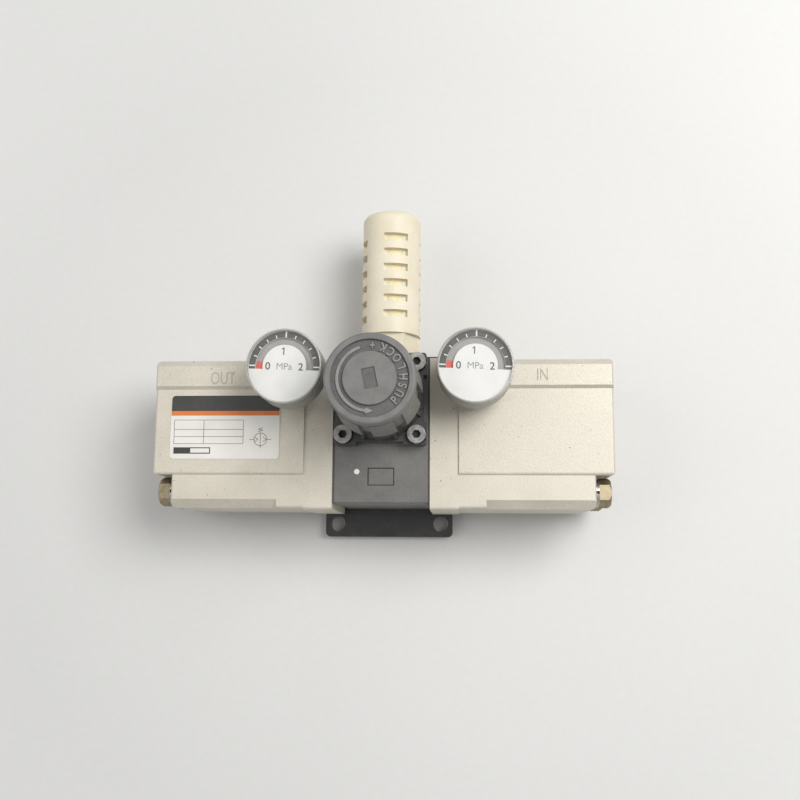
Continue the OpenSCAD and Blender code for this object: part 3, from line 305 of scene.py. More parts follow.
def clear_cap_with_painted_sheen(name, centre):
    """Clear polycarbonate: nearly see-through over the dial, and pale and nearly opaque at the rim, as
    painted sheen for the rim's reflections. Alpha rises with the distance from the gauge's axis."""
    material = finish(name, ("#b9b9b2", "#cac9c2"), rough=(0.1, 0.18), clouds_mm=9, grain_mm=0.8,
                      relief_mm=0.002, ior=1.58)
    tree = material.node_tree
    place = add(tree, "ShaderNodeTexCoord").outputs["Object"]
    flat = add(tree, "ShaderNodeMapping", {"Vector": place, "Location": (-centre.x, -centre.y, 0),
                                           "Scale": (1, 1, 0)})
    away = add(tree, "ShaderNodeVectorMath", {0: flat.outputs[0]}, operation="LENGTH").outputs["Value"]
    # Painted sheen: alpha rises to a pale, nearly opaque rim
    rim = add(tree, "ShaderNodeMapRange", {"Value": away, "From Min": LENS_CLEAR_R * MM,
                                           "From Max": (LENS_CLEAR_R + LENS_SHEEN_RUN) * MM,
                                           "To Min": LENS_CLEAR_ALPHA, "To Max": LENS_SHEEN_ALPHA})
    tree.links.new(rim.outputs[0], tree.nodes["Principled BSDF"].inputs["Alpha"])
    return material


def finishes():
    """Every finish of the booster, by its short name. Grain that would be too fine to show is drawn coarser
    than it is on the real surface."""
    return {
        # Silver-beige enamel sprayed on a blasted die casting: satin, sandy, with a few dark pits
        "silver": finish("silver_enamel_on_die_casting", ("#c8c1b1", "#d3ccbd"), rough=(0.42, 0.56),
                         clouds_mm=14, grain_mm=0.5, relief_mm=0.06, mottle=0.09,
                         specks=("#8d8676", 1.3, 0.755), metallic=0.15),
        # The same enamel on the cast letters, painted greyer as shade for the letters' dark outlines
        "cast": finish("silver_enamel_letter_shade", ("#b5ae9f", "#c2bbab"), rough=(0.45, 0.6), clouds_mm=3,
                       grain_mm=0.5, relief_mm=0.04, metallic=0.15),
        # Black paint on the block's casting: satin and a little dusty
        "block": finish("satin_black_paint", ("#64625f", "#73716d"), rough=(0.42, 0.58), clouds_mm=9,
                        grain_mm=0.35, relief_mm=0.02, mottle=0.12, specks=("#908d86", 1.1, 0.75)),
        # Gloss black enamel on the plate: orange peel and faint wipe marks
        "plate": finish("gloss_black_enamel", ("#2a2827", "#383533"), rough=(0.16, 0.32), clouds_mm=7,
                        grain_mm=2.2, relief_mm=0.03),
        # Moulded glass-filled nylon: fine eroded texture, greyer where hands have polished it
        "knob": finish("moulded_nylon_grey", ("#6a6865", "#787673"), rough=(0.44, 0.58), clouds_mm=5,
                       grain_mm=0.28, relief_mm=0.018, mottle=0.1),
        # The same nylon on sunk floors, left rough by the mould, and darker: partly dirt, partly painted
        # shade in the recesses
        "recess_dirt_and_shade": finish("moulded_nylon_dirt_and_painted_shade", ("#565452", "#625f5d"), rough=(0.55, 0.7), clouds_mm=3,
                         grain_mm=0.4, relief_mm=0.04, mottle=0.16),
        # The same nylon on the raised legend, paler: partly polished by thumbs, partly a painted highlight on
        # the raised tops
        "legend": finish("moulded_nylon_worn_and_highlit", ("#7f7d7a", "#8b8986"), rough=(0.36, 0.5),
                         clouds_mm=3, grain_mm=0.28, relief_mm=0.012),
        # The same nylon on the bonnet, painted blacker than the knob as the shade under it, with a soft sheen
        "bonnet": finish("moulded_nylon_painted_shade_dark", ("#3a3938", "#494746"), rough=(0.24, 0.36), clouds_mm=5,
                         grain_mm=0.28, relief_mm=0.012, mottle=0.1),
        # Yellow zinc plating on a forged head, dulled to tan and grey
        "zinc": finish("dull_yellow_zinc_plating", ("#7d715b", "#a4977c"), rough=(0.36, 0.52),
                       clouds_mm=2.2, grain_mm=0.3, relief_mm=0.012, mottle=0.1, metallic=0.85),
        # Turned steel: fine lines round the axis along X
        "steel": finish("turned_steel", ("#9d9c99", "#b9b8b4"), rough=(0.28, 0.4), clouds_mm=3,
                        grain_mm=0.15, relief_mm=0.006, stretch=TOOL_LINES, metallic=1.0),
        # Screws with a thin grey plating, worn on their heads
        "screw": finish("grey_plated_screw_steel", ("#7d7b78", "#a09e99"), rough=(0.35, 0.5),
                        clouds_mm=1.6, grain_mm=0.2, relief_mm=0.008, mottle=0.1, metallic=0.8),
        # Drawn spring wire: smooth and bright
        "spring": finish("drawn_spring_steel", ("#8c8b88", "#a5a49f"), rough=(0.25, 0.38), clouds_mm=2,
                         grain_mm=0.2, relief_mm=0.004, metallic=1.0),
        # Turned aluminium, pale with faint tool lines
        "aluminium": finish("turned_aluminium", ("#c2c3c3", "#d4d5d5"), rough=(0.3, 0.42), clouds_mm=3,
                            grain_mm=0.18, relief_mm=0.006, stretch=TOOL_LINES, metallic=1.0),
        # Turned brass, slightly tarnished
        "brass": finish("turned_brass", ("#a98a45", "#c9ab62"), rough=(0.28, 0.42), clouds_mm=2.5,
                        grain_mm=0.2, relief_mm=0.006, metallic=1.0),
        # Moulded nitrile rubber: matt black
        "rubber": finish("nitrile_rubber", ("#1b1b1b", "#262524"), rough=(0.7, 0.85), clouds_mm=3,
                         grain_mm=0.3, relief_mm=0.01),
        # Gasket cut from bonded fibre sheet: grey, with short pale fibres
        "fibre": finish("bonded_fibre_sheet", ("#5f5c56", "#716e67"), rough=(0.7, 0.85), clouds_mm=2,
                        grain_mm=0.3, relief_mm=0.02, mottle=0.14),
        # Cloth-backed diaphragm sheet
        "diaphragm": finish("nitrile_on_cloth", ("#4b402c", "#6b5a3a"), rough=(0.65, 0.8), clouds_mm=3,
                            grain_mm=0.5, relief_mm=0.02),
        # Injection-moulded case of a gauge: grey with a soft sheen
        "case": finish("moulded_grey_resin", ("#92928c", "#a6a59f"), rough=(0.3, 0.42), clouds_mm=6,
                       grain_mm=0.6, relief_mm=0.008),
        # Printed disc that turns in a gauge: grey and matt
        "disc": finish("printed_grey_disc", ("#9b9996", "#a6a4a1"), rough=(0.5, 0.6), clouds_mm=5,
                       grain_mm=0.4, relief_mm=0.003),
        # Enamelled dial sheet: white and satin
        "dial": finish("white_dial_enamel", ("#e9e8e4", "#f1f0ed"), rough=(0.4, 0.5), clouds_mm=8,
                       grain_mm=0.6, relief_mm=0.002, mottle=0.01),
        # Inks printed on the dial and its disc: matt dark grey, pale grey and red
        "dial_ink": finish("dial_ink_grey", ("#424240", "#4d4c4a"), rough=(0.5, 0.6), clouds_mm=3,
                           grain_mm=0.3, relief_mm=0.002),
        "unit_ink": finish("dial_ink_pale", ("#8d898e", "#9a969b"), rough=(0.5, 0.6), clouds_mm=3,
                           grain_mm=0.3, relief_mm=0.002),
        "red_ink": finish("marker_ink_red", ("#d84e41", "#e5604f"), rough=(0.5, 0.6), clouds_mm=3,
                          grain_mm=0.3, relief_mm=0.002),
        # Ivory resin of the silencer: waxy, a little yellowed
        "ivory": finish("moulded_ivory_resin", ("#dfd5bb", "#e8e0cb"), rough=(0.42, 0.55), clouds_mm=11,
                        grain_mm=0.5, relief_mm=0.012, mottle=0.02, subsurface_weight=0.2,
                        subsurface_scale=0.002),
        # Sintered resin beads: porous and yellower
        "porous": finish("sintered_resin_beads", ("#e3d8ae", "#eee5c3"), rough=(0.75, 0.9),
                         clouds_mm=1.5, grain_mm=0.55, relief_mm=0.16, mottle=0.08),
        # Film of the label: smooth, off-white and satin
        "film": finish("printed_label_film", ("#e2ded5", "#eae7e0"), rough=(0.35, 0.48), clouds_mm=10,
                       grain_mm=0.7, relief_mm=0.004, mottle=0.01),
        # Inks printed on the film: satin black, orange and grey
        "label_black": finish("label_ink_black", ("#2f2e2b", "#3c3b38"), rough=(0.35, 0.5), clouds_mm=6,
                              grain_mm=0.5, relief_mm=0.004),
        "label_orange": finish("label_ink_orange", ("#cf6f31", "#dd8040"), rough=(0.35, 0.5),
                               clouds_mm=6, grain_mm=0.5, relief_mm=0.004),
        "label_grey": finish("label_ink_grey", ("#6f6d69", "#7d7b77"), rough=(0.4, 0.5), clouds_mm=6,
                             grain_mm=0.5, relief_mm=0.004),
        # Painted shade: a dark sheet standing for the shade in sockets and corners
        "painted_shade": finish("painted_shade_dark_sheet", ("#1f1e1c", "#2d2b28"), rough=(0.6, 0.8), clouds_mm=1,
                        grain_mm=0.3, relief_mm=0.02, mottle=0.16),
        # White dab from a paint pen
        "white_paint": finish("white_paint_dab", ("#e9e8e4", "#f2f1ee"), rough=(0.4, 0.55), clouds_mm=1,
                              grain_mm=0.4, relief_mm=0.02),
    }


def mesh_piece(name, points, faces, material, body, smooth=False):
    """Makes a piece from arrays of points and faces, and lets it ride on a body where one is named."""
    mesh = bpy.data.meshes.new(name)
    rows = np.asarray(points).reshape(-1, 3).tolist()
    mesh.from_pydata(rows, [], [list(map(int, face)) for face in faces])
    mesh.polygons.foreach_set("use_smooth", np.full(len(mesh.polygons), smooth))
    mesh.materials.append(material)
    mesh.update()
    piece = bpy.data.objects.new(name, mesh)
    bpy.context.scene.collection.objects.link(piece)
    if body:
        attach(piece, body)
    return piece


def slab(name, drawing, z, thick, material, body, edge=0.0):
    """A flat drawing (points in metres, faces seen from above) with a thickness upwards from z, and round
    edges where asked for."""
    flat, faces = drawing
    piece = mesh_piece(name, np.column_stack([flat, np.full(len(flat), z)]), faces, material, body)
    solid = piece.modifiers.new("thickness", "SOLIDIFY")
    solid.thickness = thick
    solid.offset = 1
    if edge:
        rounding = piece.modifiers.new("edge", "BEVEL")
        rounding.width = edge
        rounding.segments = EDGE_STEPS
        rounding.limit_method = "ANGLE"
    return piece


def grid_faces(rows, columns, wrap_rows=False, wrap_columns=False):
    """Quads between neighbouring points of a rows x columns grid, counted row by row."""
    i, j = np.meshgrid(np.arange(rows if wrap_rows else rows - 1),
                       np.arange(columns if wrap_columns else columns - 1), indexing="ij")
    i_next, j_next = (i + 1) % rows, (j + 1) % columns
    corners = (i * columns + j, i_next * columns + j, i_next * columns + j_next, i * columns + j_next)
    return np.stack(corners, axis=-1).reshape(-1, 4)


def placed(drawing, centre, degrees=0):
    """A drawing in millimetres, turned about its origin and moved to a centre given in metres."""
    points, faces = drawing
    a = math.radians(degrees)
    turn = np.array([[math.cos(a), -math.sin(a)], [math.sin(a), math.cos(a)]])
    return np.asarray(points) @ turn.T * MM + np.array([centre[0], centre[1]]), faces


def shifted(drawing, place):
    """A drawing moved so that the middle of its box lies at a place."""
    points, faces = drawing
    return points - (points.min(0) + points.max(0)) / 2 + np.array(place), faces


def lettering(text, size, weight=0.0, narrow=1.0):
    """A word in the plain built-in face as a drawing: weight thickens its strokes, and narrow squeezes its
    width."""
    curve = bpy.data.curves.new("lettering", "FONT")
    curve.body = text
    curve.size = size
    curve.offset = weight
    curve.align_x = "CENTER"
    curve.resolution_u = LETTER_STEPS
    holder = bpy.data.objects.new("lettering", curve)
    bpy.context.scene.collection.objects.link(holder)
    depsgraph = bpy.context.evaluated_depsgraph_get()
    mesh = bpy.data.meshes.new_from_object(holder.evaluated_get(depsgraph))
    points = np.zeros(len(mesh.vertices) * 3)
    mesh.vertices.foreach_get("co", points)
    faces = [list(face.vertices)[::1 if face.normal.z > 0 else -1] for face in mesh.polygons]
    bpy.data.objects.remove(holder)
    bpy.data.curves.remove(curve)
    bpy.data.meshes.remove(mesh)
    return points.reshape(-1, 3)[:, :2] * np.array([narrow, 1]), faces


def bars(starts, ends, width):
    """Straight bars between pairs of points, each a rectangle of that width, as a drawing."""
    starts, ends = np.asarray(starts, float), np.asarray(ends, float)
    along = ends - starts
    along /= np.linalg.norm(along, axis=1, keepdims=True)
    side = np.column_stack([-along[:, 1], along[:, 0]]) * width / 2
    corners = np.stack([starts - side, ends - side, ends + side, starts + side], axis=1)
    return corners.reshape(-1, 2), np.arange(4 * len(starts)).reshape(-1, 4)


def half_band(r_in, r_out, drop):
    """A half ring whose straight ends lie a drop below the middle: at radius r the angle runs from
    -asin(drop/r) to 180 degrees + asin(drop/r)."""
    radius = np.linspace(r_in, r_out, STRIP_ROWS)[:, None]
    low = np.arcsin(drop / radius)
    angle = -low + (math.pi + 2 * low) * np.linspace(0, 1, BAND_STEPS)[None, :]
    points = np.stack([radius * np.cos(angle), radius * np.sin(angle)], axis=-1)
    return points.reshape(-1, 2), grid_faces(STRIP_ROWS, BAND_STEPS)


def arc_strip(radius, half_width, degrees, closed=False):
    """A strip along a circle with points (radius + t·half_width(a))·(cos a, sin a), t from -1 to 1, as a
    drawing; a closed one is a whole ring."""
    angle = np.radians(degrees)
    across = np.linspace(-1, 1, STRIP_ROWS)[:, None]
    reach = radius + across * np.broadcast_to(half_width, angle.shape)[None, :]
    points = np.stack([reach * np.cos(angle), reach * np.sin(angle)], axis=-1)
    return points.reshape(-1, 2), grid_faces(STRIP_ROWS, len(angle), wrap_columns=closed)


def rectangle(x0, y0, x1, y1, top_r=0.0):
    """A rectangle whose two upper corners are quarter circles of radius top_r, as a drawing of one face."""
    angle = np.linspace(0, math.pi / 2, CORNER_STEPS)
    quarter = np.column_stack([np.cos(angle), np.sin(angle)]) * top_r
    right = np.array([x1 - top_r, y1 - top_r]) + quarter
    left = np.array([x0 + top_r, y1 - top_r]) + quarter[::-1] * np.array([-1, 1])
    low = np.array([[x0, y0], [x1, y0]])
    points = np.vstack([low, right, left]) if top_r else np.vstack([low, [[x1, y1], [x0, y1]]])
    return points, [range(len(points))]


def dial_prints(side, ink):
    """Dark band, white ticks, figures and unit on a dial, and the red marker on the disc under its window."""
    low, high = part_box(f"gauge_dial_{side}")
    centre = (low + high) / 2

    def ink_on(name, drawing, finish_name, layer=0):
        slab(f"dial_{name}_{side}", placed(drawing, centre, DIAL_TURN_DEG), high.z + layer * PRINT_T * MM,
             PRINT_T * MM, ink[finish_name], "housing")

    ink_on("band", half_band(BAND_IN, BAND_OUT, BAND_DROP), "dial_ink")
    degrees = np.arange(0, SCALE_DEG + TICK_STEP_DEG, TICK_STEP_DEG)
    spokes = np.column_stack([np.cos(np.radians(degrees)), np.sin(np.radians(degrees))])
    main = degrees % TICK_MAIN_DEG == 0
    foot, head = BAND_IN + TICK_GAP, BAND_OUT - TICK_GAP
    ink_on("ticks_main", bars(spokes[main] * foot, spokes[main] * head, TICK_LONG_W), "dial", 1)
    ink_on("ticks_minor", bars(spokes[~main] * foot, spokes[~main] * TICK_SHORT_OUT, TICK_W), "dial", 1)
    for figure, place in FIGURE_PLACES.items():
        ink_on(f"figure_{figure}", shifted(lettering(figure, FIGURE_SIZE, FIGURE_WEIGHT), place), "dial_ink")
    one = np.array(ONE_OUTLINE) * ONE_H
    ink_on("figure_1", (one + np.array(ONE_PLACE), [range(len(one))]), "dial_ink")
    ink_on("unit", shifted(lettering("MPa", UNIT_SIZE), (0, 0)), "unit_ink")
    marker = arc_strip((MARKER_IN + MARKER_OUT) / 2, (MARKER_OUT - MARKER_IN) / 2,
                       np.linspace(MARKER_FROM_DEG, MARKER_TO_DEG, MARKER_STEPS))
    slab(f"dial_marker_{side}", placed(marker, centre, DIAL_TURN_DEG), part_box(f"gauge_pointer_{side}")[1].z,
         PRINT_T * MM, ink["red_ink"], f"pointer_{side}")


def label_prints(ink):
    """Black band, orange stripe, empty ruled table, dark serial box and the common sign for a booster."""
    low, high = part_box("label")
    width, height = (high.x - low.x) / MM, (high.y - low.y) / MM

    def ink_on(name, drawing, finish_name, layer=0):
        slab(f"label_{name}", placed(drawing, low), high.z + layer * PRINT_T * MM, PRINT_T * MM,
             ink[finish_name], "housing")

    right, top = width - LABEL_EDGE, height - LABEL_EDGE
    band_low = top - LABEL_BAND_H
    ink_on("band", rectangle(LABEL_EDGE, band_low, right, top, LABEL_CORNER_R), "label_black")
    ink_on("stripe", rectangle(LABEL_EDGE, band_low - LABEL_STRIPE_H, right, band_low), "label_orange")
    ink_on("serial_box", rectangle(*SERIAL_BOX), "label_black")
    ink_on("serial_space", rectangle(*SERIAL_SPACE), "film", 1)
    row_starts, row_ends = ([(x, y) for y in TABLE_Y] for x in (TABLE_X[0], TABLE_X[-1]))
    ink_on("rows", bars(row_starts, row_ends, RULE_W), "label_grey")
    column_starts, column_ends = ([(x, y) for x in TABLE_X] for y in (TABLE_Y[0], TABLE_Y[-1]))
    ink_on("columns", bars(column_starts, column_ends, RULE_W), "label_grey", 1)
    ink_on("sign", booster_sign(), "label_black")


def booster_sign():
    """The common sign for an air booster: a circle R(cos a, sin a) and the sign's straight lines."""
    angle = np.linspace(0, 2 * math.pi, SIGN_STEPS)
    ring = np.column_stack([np.cos(angle), np.sin(angle)])
    lines = [np.asarray(line) * SIGN_R + np.array(SIGN_PLACE) for line in (ring, *SIGN_LINES)]
    starts, ends = np.vstack([line[:-1] for line in lines]), np.vstack([line[1:] for line in lines])
    return bars(starts, ends, SIGN_W)


def cast_words(ink):
    """IN and OUT, raised on the strip above each port."""
    for text, place in CAST_PLACES.items():
        strip_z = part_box("cover_right" if text == "IN" else "cover_left")[1].z
        drawing = shifted(lettering(text, CAST_SIZE, CAST_WEIGHT, CAST_NARROW), place)
        # The cast letters' greyer enamel is painted shade
        slab(f"cast_word_{text.lower()}", placed(drawing, (0, 0)), strip_z, CAST_RISE * MM, ink["cast"],
             "housing", edge=CAST_EDGE * MM)


def on_ring(drawing, middle_deg, foot_r):
    """A letter bent round the knob with its foot outwards: x runs along the circle, y towards the middle."""
    points, faces = drawing
    radius = foot_r - points[:, 1]
    angle = math.radians(middle_deg) + points[:, 0] / foot_r
    return np.column_stack([radius * np.cos(angle), radius * np.sin(angle)]), faces


def knob_legend(ink):
    """Raised letters, a plus and an arrow in the knob's sunk ring, paler partly from wear and partly as
    painted highlight, and dark sheets on the floors of the ring and the box, partly dirt and partly painted
    shade. The arrow has an even width along its shaft, and its head narrows evenly to the tip."""
    low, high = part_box("knob")
    centre = (low + high) / 2
    floor_z = high.z - RING_DEPTH * MM

    # Dark sheet on a sunk floor: partly dirt, partly painted shade
    def dark_floor_sheet(name, drawing, z, degrees=0):
        slab(f"knob_{name}", placed(drawing, centre, degrees), z, PRINT_T * MM, ink["recess_dirt_and_shade"], "lock_knob")

    ring_degrees = np.linspace(0, 360, RING_FLOOR_STEPS, endpoint=False)
    ring_r, ring_half = (RING_FLOOR_IN + RING_FLOOR_OUT) / 2, (RING_FLOOR_OUT - RING_FLOOR_IN) / 2
    dark_floor_sheet("ring_floor_dirt_and_shade", arc_strip(ring_r, ring_half, ring_degrees, closed=True), floor_z)
    box = rectangle(-BOX_W / 2, -BOX_H / 2, BOX_W / 2, BOX_H / 2)
    dark_floor_sheet("box_floor_dirt_and_shade", box, high.z - BOX_DEPTH * MM, BOX_TURN_DEG)

    # The legend's paler tone is partly wear, partly painted highlight
    def raised(name, drawing):
        slab(f"knob_{name}", placed(drawing, centre), floor_z, LEGEND_RISE * MM, ink["legend"], "lock_knob",
             edge=LEGEND_EDGE * MM)

    for count, (letter, degrees) in enumerate(LEGEND_DEG.items()):
        drawing = lettering(letter, LEGEND_SIZE, LEGEND_WEIGHT, LEGEND_NARROW)
        raised(f"letter_{count}", on_ring(drawing, degrees, LEGEND_FOOT_R))
    degrees = np.linspace(ARROW_FROM_DEG, ARROW_TO_DEG, ARROW_STEPS)
    head = np.clip((degrees - (ARROW_TO_DEG - ARROW_HEAD_DEG)) / ARROW_HEAD_DEG, 0, 1)
    half = np.where(head > 0, ARROW_HEAD_W * (1 - head) + ARROW_TIP_W, ARROW_W) / 2
    raised("arrow", arc_strip(ARROW_R, half, degrees))


def painted_recess_shade(ink):
    """Dark hexagons with corners at R(cos 60i, sin 60i) in the screws' sockets, and a dark line inside the
    block's box: painted shade in the sockets and along the box's corners."""
    low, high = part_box("bonnet_screws")
    angle = np.radians(np.arange(HEX_SIDES) * 360 / HEX_SIDES)
    corners = np.column_stack([np.cos(angle), np.sin(angle)]) * SOCKET_R
    places = np.array([(x, y) for x in (-1, 1) for y in (-1, 1)]) * SOCKET_PITCH / 2
    hexagons = (places[:, None] + corners[None, :]).reshape(-1, 2)
    faces = np.arange(len(hexagons)).reshape(-1, HEX_SIDES)
    # Painted shade on the sockets' floors
    slab("socket_painted_shade", placed((hexagons, faces), (low + high) / 2), high.z - SOCKET_DEPTH * MM,
         PRINT_T * MM, ink["painted_shade"], "housing")
    outer = np.array([(-1, -1), (1, -1), (1, 1), (-1, 1)]) * np.array([BLOCK_BOX_W, BLOCK_BOX_H]) / 2
    inner = outer - np.sign(outer) * BLOCK_BOX_LINE
    line = np.vstack([inner, outer]) + np.array([0, BLOCK_BOX_Y])
    floor_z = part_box("centre_block")[1].z - BLOCK_BOX_DEPTH * MM
    # Painted shade along the inside of the block's box
    slab("box_painted_shade", placed((line, grid_faces(2, len(outer), wrap_columns=True)), (0, 0)), floor_z,
         PRINT_T * MM, ink["painted_shade"], "housing")


def paint_dot(ink):
    """A dab of paint on the block: height h(1 - (r/R)^4) over a disc, with a flat underside."""
    top_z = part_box("centre_block")[1].z
    angle = np.linspace(0, 2 * math.pi, DOT_SPOKES, endpoint=False)
    share = np.linspace(DOT_CORE, 1, DOT_RINGS)[:, None]
    x = DOT_PLACE[0] + DOT_R * share * np.cos(angle)
    y = DOT_PLACE[1] + DOT_R * share * np.sin(angle)
    lift = np.broadcast_to(DOT_RISE * (1 - share ** DOT_POWER), x.shape)
    points = np.stack([x, y, lift], axis=-1) * MM + np.array([0, 0, top_z])
    ring = np.arange(DOT_SPOKES)
    underside = (ring + (DOT_RINGS - 1) * DOT_SPOKES)[::-1]
    faces = [*grid_faces(DOT_RINGS, DOT_SPOKES, wrap_columns=True), ring, underside]
    mesh_piece("paint_dot", points, faces, ink["white_paint"], "housing", smooth=True)


def port_threads(ink):
    """Pipe thread in each air port: inside radius R - d·tri(depth/pitch - angle/2pi), where tri runs evenly
    from 0 to 1 and back, faded out at both ends and closed by a thin outer wall."""
    mounts = {mount["name"]: mount for mount in frame["record"]["mounts"]}
    for side, mount in (("left", mounts["out_port"]), ("right", mounts["in_port"])):
        axis_x, middle_y, axis_z = mount["pos_m"]
        port_r, length = mount["dims"]["r_mm"], mount["dims"]["length_mm"]
        face_y = middle_y + length / 2 * MM
        depth_end = length - THREAD_END_GAP
        angle = np.linspace(0, 2 * math.pi, THREAD_SPOKES, endpoint=False)[:, None]
        depth = np.linspace(0, depth_end, THREAD_RINGS)[None, :]
        phase = (depth / THREAD_PITCH - angle / (2 * math.pi)) % 1
        fade = np.clip(np.minimum(depth, depth_end - depth) / THREAD_FADE, 0, 1)
        inner = port_r - THREAD_WALL - THREAD_DEPTH * (1 - np.abs(2 * phase - 1)) * fade
        wall_depths = np.tile([depth_end, 0.0], (THREAD_SPOKES, 1))
        radius = np.hstack([inner, np.full(wall_depths.shape, port_r - THREAD_SKIN)]) * MM
        along = np.hstack([np.broadcast_to(depth, inner.shape), wall_depths]) * MM
        x, z = axis_x + radius * np.cos(angle), axis_z + radius * np.sin(angle)
        points = np.stack([x, face_y - along, z], axis=-1)
        faces = grid_faces(*radius.shape, wrap_rows=True, wrap_columns=True)
        mesh_piece(f"port_thread_{side}", points, faces, ink["aluminium"], "housing",
                   smooth=True)


def wound(name, node, axis, ends, wire_r, turns, material, part=(0, 1)):
    """A round wire of radius w wound about a node's axis, R to its middle: at share s of its height L the
    wire lies at height w + (L - 2w)s and angle 2pi·turns·s. Ends are its seat and its pushed end along the
    axis, and part is the stretch of s that is made."""
    low, high = (np.array(corner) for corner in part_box(node))
    radius = np.delete(high - low, axis).max() / 2 - wire_r
    along = np.zeros(3)
    along[axis] = np.sign(ends[1] - ends[0])
    side = np.roll(along, 1)
    other = np.cross(along, side)
    seat = (low + high) / 2
    seat[axis] = ends[0]
    climb = abs(ends[1] - ends[0]) - 2 * wire_r
    rows = round(turns * WIRE_STEPS * (part[1] - part[0])) + 1
    share = np.linspace(*part, rows)[:, None, None]
    turn = 2 * math.pi * turns * share
    around = np.linspace(0, 2 * math.pi, WIRE_SIDES, endpoint=False)[None, :, None]
    spoke = (radius + wire_r * np.cos(around)) * (np.cos(turn) * side + np.sin(turn) * other)
    points = seat + spoke + (wire_r + climb * share + wire_r * np.sin(around)) * along
    ring = np.arange(WIRE_SIDES)
    last_ring = (ring + (rows - 1) * WIRE_SIDES)[::-1]
    faces = [*grid_faces(rows, WIRE_SIDES, wrap_columns=True), ring, last_ring]
    piece = mesh_piece(name, points, faces, material, None, smooth=True)
    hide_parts(node)
    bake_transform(piece)


def springs(ink):
    """The check valves' springs, the regulator valve's spring, and the adjusting spring in two stretches."""
    for side in SIDES:
        for kind in ("inlet", "outlet"):
            low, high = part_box(f"{kind}_spring_{side}")
            poppet_low, poppet_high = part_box(f"{kind}_poppet_{side}")
            poppet_x = (poppet_low.x + poppet_high.x) / 2
            seat_x, pushed_x = sorted((low.x, high.x), key=lambda x: -abs(x - poppet_x))
            wound(f"{kind}_coil_{side}", f"{kind}_spring_{side}", X_AXIS, (seat_x, pushed_x),
                  CHECK_WIRE_R * MM, SPRING_TURNS, ink["spring"])
    low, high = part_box("valve_spring")
    wound("valve_coil", "valve_spring", Z_AXIS, (low.z, high.z), VALVE_WIRE_R * MM, SPRING_TURNS,
          ink["spring"])
    low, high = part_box("adjusting_spring")
    stretches = {"lower": (("regulator_valve", "housing"), (0, PLATE_SHARE)),
                 "upper": (("housing", "pressure_nut"), (PLATE_SHARE, 1))}
    for name, (bodies, part) in stretches.items():
        wound(f"adjusting_coil_{name}", "adjusting_spring", Z_AXIS, (low.z, high.z), ADJUST_WIRE_R * MM,
              ADJUST_TURNS, ink["spring"], part)


def moulded_diaphragm(ink):
    """A section turned about the regulator's axis: a clamped rim, a web and, above the rim, a disc under the
    spring plate. The bend lies between the rim's upper and the disc's lower face."""
    low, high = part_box("diaphragm")
    centre = (low + high) / 2
    outer_r = (high.x - low.x) / 2 / MM
    rim_top, disc_foot = low.z + SHEET_T * MM, high.z - SHEET_T * MM
    section_r = [DISC_HOLE_R, DISC_HOLE_R, DISC_R, RIM_IN_R, outer_r, outer_r, RIM_IN_R, DISC_R]
    radius = np.array(section_r)[:, None] * MM
    height = np.array([disc_foot, high.z, high.z, rim_top, rim_top, low.z, low.z, disc_foot])[:, None]
    angle = np.linspace(0, 2 * math.pi, DIAPHRAGM_SPOKES, endpoint=False)[None, :]
    points = np.stack([centre.x + radius * np.cos(angle), centre.y + radius * np.sin(angle),
                       np.broadcast_to(height, (len(height), DIAPHRAGM_SPOKES))], axis=-1)
    faces = grid_faces(len(height), DIAPHRAGM_SPOKES, wrap_rows=True, wrap_columns=True)
    piece = mesh_piece("moulded_diaphragm", points, faces, ink["diaphragm"], None)
    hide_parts("diaphragm")
    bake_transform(piece)


def dress(ink):
    """Gives every CAD piece its finish."""
    looks = {
        "silver": ("cover_left", "cover_right"), "block": ("centre_block",), "plate": ("base_plate",),
        "knob": ("knob",), "bonnet": ("bonnet",), "zinc": ("cover_bolts",),
        "screw": ("bonnet_screws", "cover_screws", "plate_screws"),
        "steel": ("piston_rod", "rod_nuts", "spool", "adjusting_screw", "spring_washers"),
        "spring": ("adjusting_spring", "valve_spring", "inlet_spring_left", "inlet_spring_right",
                   "outlet_spring_left", "outlet_spring_right"),
        "aluminium": ("piston_left", "piston_right", "spring_plate"),
        "brass": ("guide_bushes", "inlet_poppet_left", "inlet_poppet_right", "outlet_poppet_left",
                  "outlet_poppet_right", "valve_retainers", "valve_poppet", "valve_guide", "spring_nut",
                  "thrust_washer", "gauge_stem_left", "gauge_stem_right"),
        "fibre": ("gasket_left", "gasket_right"),
        "rubber": ("piston_seals", "rod_seals", "spool_rings", "gauge_ring_left", "gauge_ring_right"),
        "diaphragm": ("diaphragm",), "case": ("gauge_case_left", "gauge_case_right"),
        "disc": ("gauge_pointer_left", "gauge_pointer_right"),
        "dial": ("gauge_dial_left", "gauge_dial_right"),
        "ivory": ("silencer_body",), "porous": ("silencer_element",), "film": ("label",),
    }
    worn = {name: ink[look] for look, names in looks.items() for name in names}
    for side in SIDES:
        low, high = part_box(f"gauge_lens_{side}")
        worn[f"gauge_lens_{side}"] = clear_cap_with_painted_sheen(f"clear_polycarbonate_painted_sheen_{side}", (low + high) / 2)
    for name, material in worn.items():
        frame["nodes"][name].data.materials.clear()
        frame["nodes"][name].data.materials.append(material)


def seen_ray(tree):
    """Whether a ray comes from the eye, straight or by way of a shiny or clear surface."""
    ray = add(tree, "ShaderNodeLightPath").outputs
    by_way = add(tree, "ShaderNodeMath", {0: ray["Is Glossy Ray"], 1: ray["Is Transmission Ray"]},
                 operation="MAXIMUM").outputs[0]
    return add(tree, "ShaderNodeMath", {0: ray["Is Camera Ray"], 1: by_way},
               operation="MAXIMUM").outputs[0]


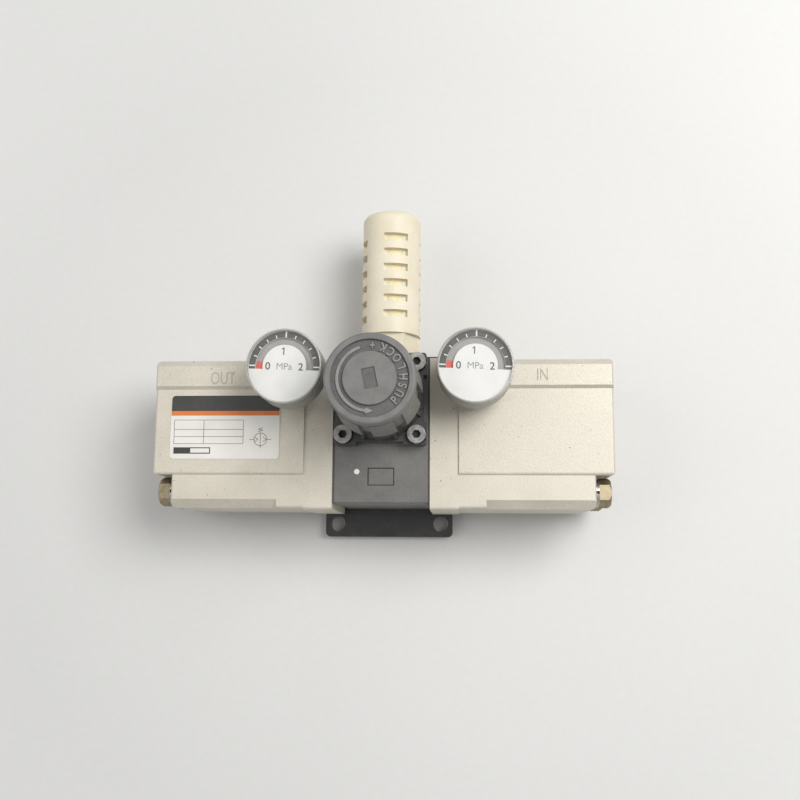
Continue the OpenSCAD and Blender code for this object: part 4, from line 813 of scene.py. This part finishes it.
def studio():
    """Pale floor, a large soft lamp above to the right, a weaker one to the left, and an even sky."""
    scene = bpy.context.scene
    scene.view_settings.view_transform = "Standard"
    corners = np.array([[-1, -1], [1, -1], [1, 1], [-1, 1]]) * FLOOR_REACH
    mesh = bpy.data.meshes.new("floor")
    mesh.from_pydata([(x, y, -FLOOR_DROP * MM) for x, y in corners], [], [(0, 1, 2, 3)])
    floor = bpy.data.objects.new("floor", mesh)
    scene.collection.objects.link(floor)
    paper = finish("pale_paper_sweep", ("#dddcd9", "#e3e2df"), rough=(0.8, 0.9), clouds_mm=400,
                   grain_mm=3, relief_mm=0.01, mottle=0.01, emission_color=linear(FLOOR_GLOW_TONE))
    tree = paper.node_tree
    place = add(tree, "ShaderNodeTexCoord").outputs["Object"]
    away = add(tree, "ShaderNodeVectorMath", {0: place}, operation="LENGTH").outputs["Value"]
    far = add(tree, "ShaderNodeMapRange", {"Value": away, "From Min": FLOOR_NEAR, "From Max": FLOOR_FAR,
                                           "To Min": 0.0, "To Max": FLOOR_GLOW})
    shown = add(tree, "ShaderNodeMath", {0: far.outputs[0], 1: seen_ray(tree)}, operation="MULTIPLY")
    tree.links.new(shown.outputs[0], tree.nodes["Principled BSDF"].inputs["Emission Strength"])
    floor.data.materials.append(paper)
    world = bpy.data.worlds.new("even_sky")
    scene.world = world
    world.use_nodes = True
    tree = world.node_tree
    sky = tree.nodes["Background"].inputs
    sky["Color"].default_value = linear(SKY_TONE)
    level = add(tree, "ShaderNodeMapRange",
                {"Value": seen_ray(tree), "To Min": SKY_LEVEL, "To Max": SKY_SEEN})
    tree.links.new(level.outputs[0], sky["Strength"])
    for name, (place, width, watts) in LAMPS.items():
        lamp = bpy.data.lights.new(name, "AREA")
        lamp.size = width
        lamp.energy = watts
        stand = bpy.data.objects.new(name, lamp)
        stand.location = place
        stand.rotation_euler = (Vector(LAMP_AIM) - Vector(place)).to_track_quat("-Z", "Y").to_euler()
        scene.collection.objects.link(stand)


def camera():
    """The photograph's view: world to camera is Rz Ry Rx, so the camera's own turn is its transpose."""
    turn = Matrix.Identity(3)
    for axis in ("X", "Y", "Z"):
        turn = Matrix.Rotation(math.radians(CAMERA_TURNS_DEG[axis]), 3, axis) @ turn
    view = bpy.data.cameras.new("view")
    view.sensor_width = SENSOR_MM
    view.lens = LENS_MM
    view.clip_start = CLIP_NEAR * MM
    stand = bpy.data.objects.new("view", view)
    stand.matrix_world = Matrix.Translation(CAMERA_PLACE) @ turn.transposed().to_4x4()
    bpy.context.scene.collection.objects.link(stand)
    bpy.context.scene.camera = stand


camera()
studio()
inks = finishes()
dress(inks)
for gauge_side in SIDES:
    dial_prints(gauge_side, inks)
label_prints(inks)
cast_words(inks)
knob_legend(inks)
painted_recess_shade(inks)
paint_dot(inks)
port_threads(inks)
springs(inks)
moulded_diaphragm(inks)
